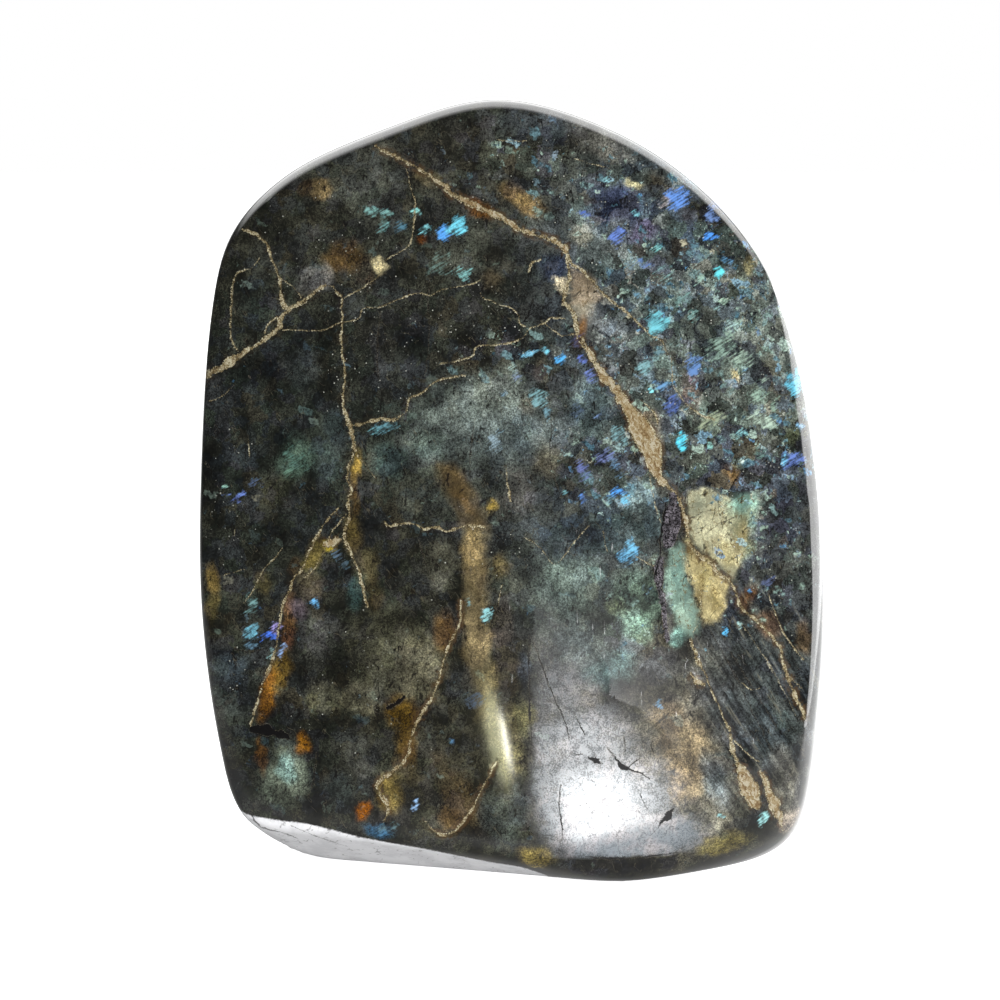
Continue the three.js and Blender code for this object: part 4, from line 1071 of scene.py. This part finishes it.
def readStone(place):  # what is written on the points, and the noise that all the looks share
    painted = field("body")
    flash = field("flash")
    finishAndGlare = apart(field("finishAndGlare")["Vector"])
    grain = apart(field("grain")["Vector"])
    fine = grainOf(place, 1.6, 3.0, 0.62)
    nudge = addNode("VectorMath", {0: fine["Color"], 1: (0.5, 0.5, 0.5)}, operation="SUBTRACT")
    nudged = {0: nudge.outputs[0], 1: (3.6, 3.6, 3.6), 2: place}
    bent = addNode("VectorMath", nudged, operation="MULTIPLY_ADD")
    slanting = stretched(place, (6.0, 1.0, 0.6), (0, math.radians(58), 0))
    speckle = grainOf(place, 0.5, 2.0, 0.7)[0]
    rasp = grainOf(place, 0.26, 1.0, 0.6)[0]
    return {
        "place": place, "bent": bent.outputs[0], "fine": fine[0], "speckle": speckle, "rasp": rasp,
        "clouds": grouped(cloudiness, {"Place": place})[0],
        "slant": grainOf(slanting, 1.9, 3.0, 0.62)[0],
        "jagged": weighed((speckle, 0.5), (rasp, 0.5)),
        "scatter": weighed((rasp, 0.5), (fine[0], 0.5)),
        "body": painted["Color"], "streaky": painted["Alpha"], "flash": flash["Color"], "lit": flash["Alpha"],
        "ground": finishAndGlare[0], "foot": finishAndGlare[1], "grainy": grain[0], "specked": grain[1], "calm": grain[2],
    }


def rockShade(at):  # clouds, crystal domains that each catch the light a little differently, fine grain
    rise = addNode("MapRange", {"Value": at["clouds"], "From Min": polish["cloudSpan"][0],
                                      "From Max": polish["cloudSpan"][1]}).outputs[0]
    gain = plus(times(calc("POWER", rise, 1.5), polish["brightest"]), polish["darkest"])
    blocks = cellsOf(stretched(at["bent"], (1, 1.6, 1.6), (0, 0.1, 0)), 0.17)[0]
    catch = step(blocks[0], 0.0, 1.0, *polish["blocks"])
    catch = mixValue(step(at["ground"], 0.0, 0.1), catch, 1.0)
    lottery = cellsOf(at["bent"], 0.4)[0]
    lively = step(at["grainy"], 0.0, 0.8, 0.15, 1.0)
    drawn = step(lottery[0], 0.0, 1.0, *polish["domains"])
    catch = times(catch, mixValue(lively, 1.0, drawn))
    speckled = step(at["speckle"], 0.36, 0.64, *polish["speckled"])
    gritty = times(speckled, step(at["rasp"], 0.3, 0.7, *polish["gritty"]))
    streaked = step(at["slant"], 0.38, 0.62, *polish["streaked"])
    gain = times(gain, catch, gritty, mixValue(at["streaky"], 1.0, streaked))
    gain = mixValue(at["calm"], gain, step(at["fine"], 0.35, 0.65, *polish["calmed"]))
    tints = ramp(lottery[1], polish["tints"])
    tinting = step(at["grainy"], 0.0, 1.0, *polish["tinted"])
    tinting = times(tinting, step(at["calm"], 0.6, 0.0))
    return lighten(mix(tinting, at["body"], tints), gain)


def addSplinters(at, shade):  # of pale green, blue and cream, thick towards the right
    for spacing, size, share, turn in ((2.6, 0.5, 0.62, 0.5), (1.1, 0.36, 0.5, -0.7)):
        clustered = times(at["grainy"], step(at["clouds"], 0.44, 0.6, 0.04, share))
        drawn = stretched(at["bent"], (1.0, 1.0, 0.55), (0, turn, 0))
        inputs = {"Place": drawn, "Amount": clustered, "Spacing": spacing, "Size": size}
        splinters = grouped(flecks, inputs)
        colour = ramp(splinters[1], polish["splinters"])
        colour = lighten(colour, step(at["speckle"], 0.36, 0.62, 0.55, 1.9))
        shade = lay(shade, splinters[0], 0.85, colour)
    return shade


def addCleavage(at, shade):  # dark upright cracks, paler threads that cross them, and golden crazing
    at["cracks"] = []
    for turn, size, width, strength, colour in polish["cleavage"]:
        inputs = {"Place": at["place"], "Turn": turn, "Size": size, "Width": width, "Breaks": at["fine"]}
        at["cracks"].append(grouped(cleavage, inputs)[0])
        shade = lay(shade, at["cracks"][-1], strength, solid(*colour))
    thread = times(step(at["slant"], 0.6, 0.68), at["streaky"])
    shade = lay(shade, thread, 0.45, solid(*polish["thread"]))
    cells = {"Vector": at["bent"], "Scale": 0.45}
    network = addNode("TexVoronoi", cells, feature="DISTANCE_TO_EDGE").outputs[0]
    at["crazed"] = times(step(network, 0.05, 0.0), step(at["fine"], 0.42, 0.58))
    crazing = step(at["calm"], 0.25, 0.55, 0.0, 0.85)
    return lay(shade, at["crazed"], crazing, solid(*polish["crazing"]))


def addFlashes(at, shade):  # soft-edged, broken by grains and thin slanting lamellae
    drawn = stretched(at["place"], (3.6, 1.0, 0.36), (0, math.radians(-32), 0))
    lamella = grainOf(drawn, 0.9, 2.0)[0]
    broken = weighed((lamella, 0.42), (at["speckle"], 0.22), (at["fine"], 0.36))
    glow = lighten(at["flash"], step(broken, 0.4, 0.6, 0.7, 1.85))
    reach = step(shaken(at["lit"], broken, 3.4), 0.35, 1.05)
    shade = lay(shade, reach, step(at["lit"], 0.0, 0.2), glow)
    return addNode("HueSaturation", {"Saturation": polish["richness"], "Color": shade}).outputs[0]


def addGround(at, shade):  # a pale bloom over the ground patch, laid on more strongly towards its core as a painted glare, that thins out into grains, with fine cracks in it
    ground = at["ground"]
    evened = step(at["jagged"], 0.36, 0.62, 0.6, 1.2)
    thinned = step(at["scatter"], 0.4, 0.6, 0.4, 1.2)
    at["patchy"] = mixValue(step(ground, 0.4, 0.95), thinned, evened)
    covered = calc("MULTIPLY", step(ground, 0.02, 0.5), at["patchy"], clamp=True)
    dull, pale = polish["bloomAndGlare"]
    bloomAndGlare = mix(step(at["clouds"], 0.42, 0.6), solid(*dull), solid(*pale))
    # painted glare: the pale bloom comes in more strongly towards the core of the patch
    shade = lay(shade, covered, step(ground, 0.1, 0.9, 0.16, 0.6), bloomAndGlare)
    at["split"] = times(at["crazed"], step(ground, 0.35, 0.8, 0.0, 0.7))
    return mix(at["split"], shade, solid(*polish["bloomCracks"]))


def readFractures(at):  # the strongest of every layer, for each part of the filling
    inputs = {"Ragged": minus(at["jagged"], 0.5), "Swell": step(at["fine"], 0.38, 0.62, 0.6, 1.3)}
    found = {}
    for index in range(len(layers)):
        inputs["Fracture"] = field("fracture%d" % index)["Vector"]
        line = grouped(fractureFill, inputs)
        for name in fillingParts:
            known = found.get(name)
            found[name] = calc("MAXIMUM", known, line[name]) if known else line[name]
    return found


def addFractures(at, shade):
    found = at["found"] = readFractures(at)
    stained = step(at["fine"], 0.4, 0.6, 0.1, 0.75)
    shade = lay(shade, found["Edge"], stained, solid(*polish["stain"]))
    crumble = weighed((at["rasp"], 0.6), (at["fine"], 0.4))
    drawn = stretched(at["bent"], (0.5, 1.0, 2.6), (0, math.radians(-24), 0))
    heart = ramp(grainOf(drawn, 1.0, 2.0, 0.6)[0], polish["heart"])
    filling = lay(ramp(crumble, polish["crumbs"]), found["Heart"], found["Gold"], heart)
    hollow, wall = polish["sponge"]
    sponge = mix(step(at["jagged"], 0.42, 0.6), solid(*hollow), solid(*wall))
    sponge = lighten(sponge, step(at["fine"], 0.4, 0.6, 0.4, 1.25))
    filling = mix(found["Porous"], filling, sponge)
    filling = mix(found["Open"], filling, solid(*polish["open"]))
    firm = step(plus(crumble, times(found["Width"], 0.4)), 0.42, 0.58, 0.35, 0.95)
    return lay(shade, found["Core"], firm, filling)


def addSpecks(at, shade):
    specks = grouped(pinSpecks, {"Place": at["place"], "Amount": at["specked"]})[0]
    glint = step(at["fine"], 0.4, 0.6, 0.25, 0.95)
    return lay(shade, specks, glint, solid(*polish["specks"]))


def addFoot(at, shade):  # the pale ground foot, with a ragged crest
    at["onFoot"] = step(shaken(at["foot"], at["speckle"], 0.5), -0.1, 0.3)
    footShade = mix(step(at["clouds"], 0.42, 0.6, 0.0, 0.5), *polish["foot"])
    fineCrack, openCrack = polish["footCracks"]
    footShade = lay(footShade, at["cracks"][1], 0.7, solid(*fineCrack))
    footShade = lay(footShade, at["found"]["Open"], 0.85, solid(*openCrack))
    return mix(at["onFoot"], shade, footShade)


def finishSurface(at, shader):  # high polish, the worn skin over the ground patch, and its relief
    skin = calc("MULTIPLY", step(at["ground"], 0.04, 0.95), at["patchy"], clamp=True)
    unsplit = step(at["split"], 0.7, 0.0, 0.4, 1.0)
    unbroken = times(step(at["found"]["Open"], 0.6, 0.0), unsplit)
    feed(shader.inputs["Coat Weight"], times(skin, unbroken))
    worn = calc("GREATER_THAN", shaken(at["ground"], at["scatter"], 0.16), 0.09)
    roughness = mixValue(worn, polish["roughness"], 1.0)
    roughness = mixValue(at["onFoot"], roughness, polish["footRoughness"])
    scratches = grouped(fineScratches, {"Place": at["place"]})[0]
    roughness = plus(roughness, times(scratches, polish["scratched"]))
    feed(shader.inputs["Roughness"], roughness)
    dull = calc("MAXIMUM", at["ground"], step(at["foot"], 0.0, 0.3))
    relief = times(at["rasp"], plus(times(dull, 0.1), 0.01))
    addBump(shader, relief, *polish["relief"])


def addBump(shader, height, deep, strength):  # deep in mm
    bump = addNode("Bump", {"Height": height, "Distance": deep * mm, "Strength": strength})
    feed(shader.inputs["Normal"], bump.outputs[0])


def makePolishedStone():
    material, shader, place = startMaterial("polishedLabradorite")
    at = readStone(place)
    shade = rockShade(at)
    for add in (addSplinters, addCleavage, addFlashes, addGround, addFractures, addSpecks, addFoot):
        shade = add(at, shade)
    feed(shader.inputs["Base Color"], shade)
    finishSurface(at, shader)
    shader.inputs["IOR"].default_value = polish["ior"]
    shader.inputs["Coat Roughness"].default_value = polish["groundRoughness"]
    shader.inputs["Coat IOR"].default_value = polish["skinIor"]
    return material


def makeSawnBase():
    material, shader, place = startMaterial("sawnBase")
    dark, pale, speck = polish["sawn"]
    clouds = grouped(cloudiness, {"Place": place, "Cloud Size": 9.0})[0]
    shade = mix(step(clouds, 0.35, 0.65), solid(*dark), solid(*pale))
    specks = grouped(pinSpecks, {"Place": place, "Amount": 0.3})[0]
    feed(shader.inputs["Base Color"], mix(specks, shade, solid(*speck)))
    shader.inputs["Roughness"].default_value = polish["sawnRoughness"]
    shader.inputs["IOR"].default_value = polish["ior"]
    saw = grouped(fineScratches, {"Place": place, "Turn": polish["sawTurn"]})[0]
    addBump(shader, saw, polish["sawDepth"], 0.5)
    return material


mesh.materials.clear()
mesh.materials.append(makePolishedStone())
mesh.materials.append(makeSawnBase())
underneath = readVectors(mesh.polygons, "center")[:, 2] < 0.05 * mm
mesh.polygons.foreach_set("material_index", underneath.astype(np.int32))
mesh.update()
say("materials are on the stone")

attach(piece, "root")
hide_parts("labradorite_stone")

studio = {
    "target": (-3.4, -8.0, 71.2),   # mm
    "distance": 528,
    "elevation": 8,
    "lens": 100,
    "floor": (225, 225, 228),
    "floorRoughness": 0.8,
    "floorGlow": 0.95,
    "floorBounce": (0.22, 1.0),    # what the floor gives back from in front, and from behind on the right
    "floorShade": 0.12,
    "floorSheen": (2.0, 4.5),      # how much more of the floor shows in the polish, and on the right
    "room": (0.07, 0.07, 0.072, 1.0),
    "lampFade": 0.25,              # how far in from its edges a big lamp fades, as a part of its size
    "wallFade": 0.05,              # the same for the lamp on the right
    "wallDim": 0.3,                # what is left of it at the back, where the polish reflects more strongly
}
white = (1.0, 1.0, 1.0, 1.0)

# lamps: name, place and aim in mm, width and height in mm, power in watts, colour, and what they light: all
# of the stone's look, only the sheen on it, or only its body
lamps = [
    ("overhead", (100, 380, 900), (100, 380, 0), 3000, 1740, 105.0, (1, 1, 1), "sheen"),
    ("sky", (300, 380, 900), (300, 380, 0), 2100, 1300, 46.0, (1, 1, 1), "body"),
    ("backWall", (450, 1150, 380), (450, 0, 380), 3400, 1060, 42.0, (1, 1, 1), "sheen"),
    ("rightWall", (650, 160, 130), (0, 160, 130), 1870, 400, 18.5, (1, 1, 1), "sheen"),
    ("rightFill", (650, 160, 130), (0, 160, 130), 1400, 300, 12.0, (1, 1, 1), "body"),
    ("ridgeLamp", (-32, -475, 61), (-3, -27, 28), 4, 24, 0.018, (1, 0.98, 0.84), "all"),
    ("ridgeGlow", (-45, -475, 61), (-3, -27, 28), 24, 44, 0.024, (0.9, 0.9, 0.55), "all"),
    ("glareLamp", (77, -472, 57.6), (14.6, -28.3, 18.4), 47, 14, 2.55, (1, 1, 1), "all"),
]


def softenEdges(light):  # a big lamp fades out towards its edges, so that its reflection has none
    light.use_nodes = True
    tree = bench["tree"] = light.node_tree
    onWall = light.name == "rightWall"
    fade = studio["wallFade" if onWall else "lampFade"]
    geometry = addNode("NewGeometry", {}).outputs
    spot = apart(geometry["Parametric"])
    fades = []
    for axis in (0, 1):
        aside = calc("ABSOLUTE", minus(spot[axis], 0.5))
        fades.append(step(aside, 0.5, 0.5 - fade))
    if onWall:
        reach = apart(geometry["Position"])[1]
        fades[0] = times(fades[0], step(reach, -0.1, 0.9, 1.0, studio["wallDim"]))
    feed(tree.nodes["Emission"].inputs["Strength"], times(*fades))


def addFloor():
    plane = bmesh.new()
    bmesh.ops.create_grid(plane, x_segments=1, y_segments=1, size=6)
    floor = placed("studioFloor", meshOf(plane, "studioFloor"))
    material = bpy.data.materials.new("palePaper")
    material.use_nodes = True
    bench["tree"] = material.node_tree
    shader = material.node_tree.nodes["Principled BSDF"].inputs
    shader["Roughness"].default_value = studio["floorRoughness"]
    shader["Emission Color"].default_value = white
    rays = addNode("LightPath", {}).outputs
    seen = rays["Is Camera Ray"]
    dark = (*[studio["floorShade"]] * 3, 1.0)
    feed(shader["Base Color"], mix(seen, dark, (*linear(*studio["floor"]), 1.0)))
    place = apart(addNode("NewGeometry", {}).outputs["Position"])
    behind = step(plus(place[0], place[1]), 0.0, 0.08, *studio["floorBounce"])
    beside = step(place[0], 0.08, 0.16, *studio["floorSheen"])
    sheen = mixValue(rays["Is Glossy Ray"], 1.0, mixValue(behind, 1.0, beside))
    glow = mixValue(seen, times(behind, sheen), studio["floorGlow"])
    feed(shader["Emission Strength"], glow)
    material.cycles.emission_sampling = "NONE"
    floor.data.materials.append(material)


def addLamps():
    for name, place, aim, width, height, power, colour, lights in lamps:
        light = bpy.data.lights.new(name, "AREA")
        light.shape = "ELLIPSE" if max(width, height) < 100 else "RECTANGLE"
        light.size = width * mm
        light.size_y = height * mm
        light.energy = power
        light.color = colour
        lamp = placed(name, light)
        lamp.location = Vector(place) * mm
        lamp.rotation_euler = (Vector(place) - Vector(aim)).to_track_quat("Z", "Y").to_euler()
        lamp.visible_camera = False
        lamp.visible_diffuse = lights != "sheen"
        lamp.visible_glossy = lights != "body"
        if lights != "all":
            softenEdges(light)


def addWorld():
    world = bpy.data.worlds.new("studioRoom")
    world.use_nodes = True
    tree = bench["tree"] = world.node_tree
    seen = addNode("LightPath", {}).outputs["Is Camera Ray"]
    feed(tree.nodes["Background"].inputs["Color"], mix(seen, studio["room"], white))
    scene.world = world


def addCamera():
    angle = math.radians(studio["elevation"])
    aim = Vector(studio["target"]) * mm
    camera = placed("camera", bpy.data.cameras.new("camera"))
    camera.location = aim + Vector((0, -math.cos(angle), math.sin(angle))) * studio["distance"] * mm
    camera.rotation_euler = (camera.location - aim).to_track_quat("Z", "Y").to_euler()
    camera.data.lens = studio["lens"]
    camera.data.clip_start = 0.01
    scene.camera = camera


addFloor()
addLamps()
addWorld()
addCamera()
scene.view_settings.view_transform = "Standard"
say("studio is set")
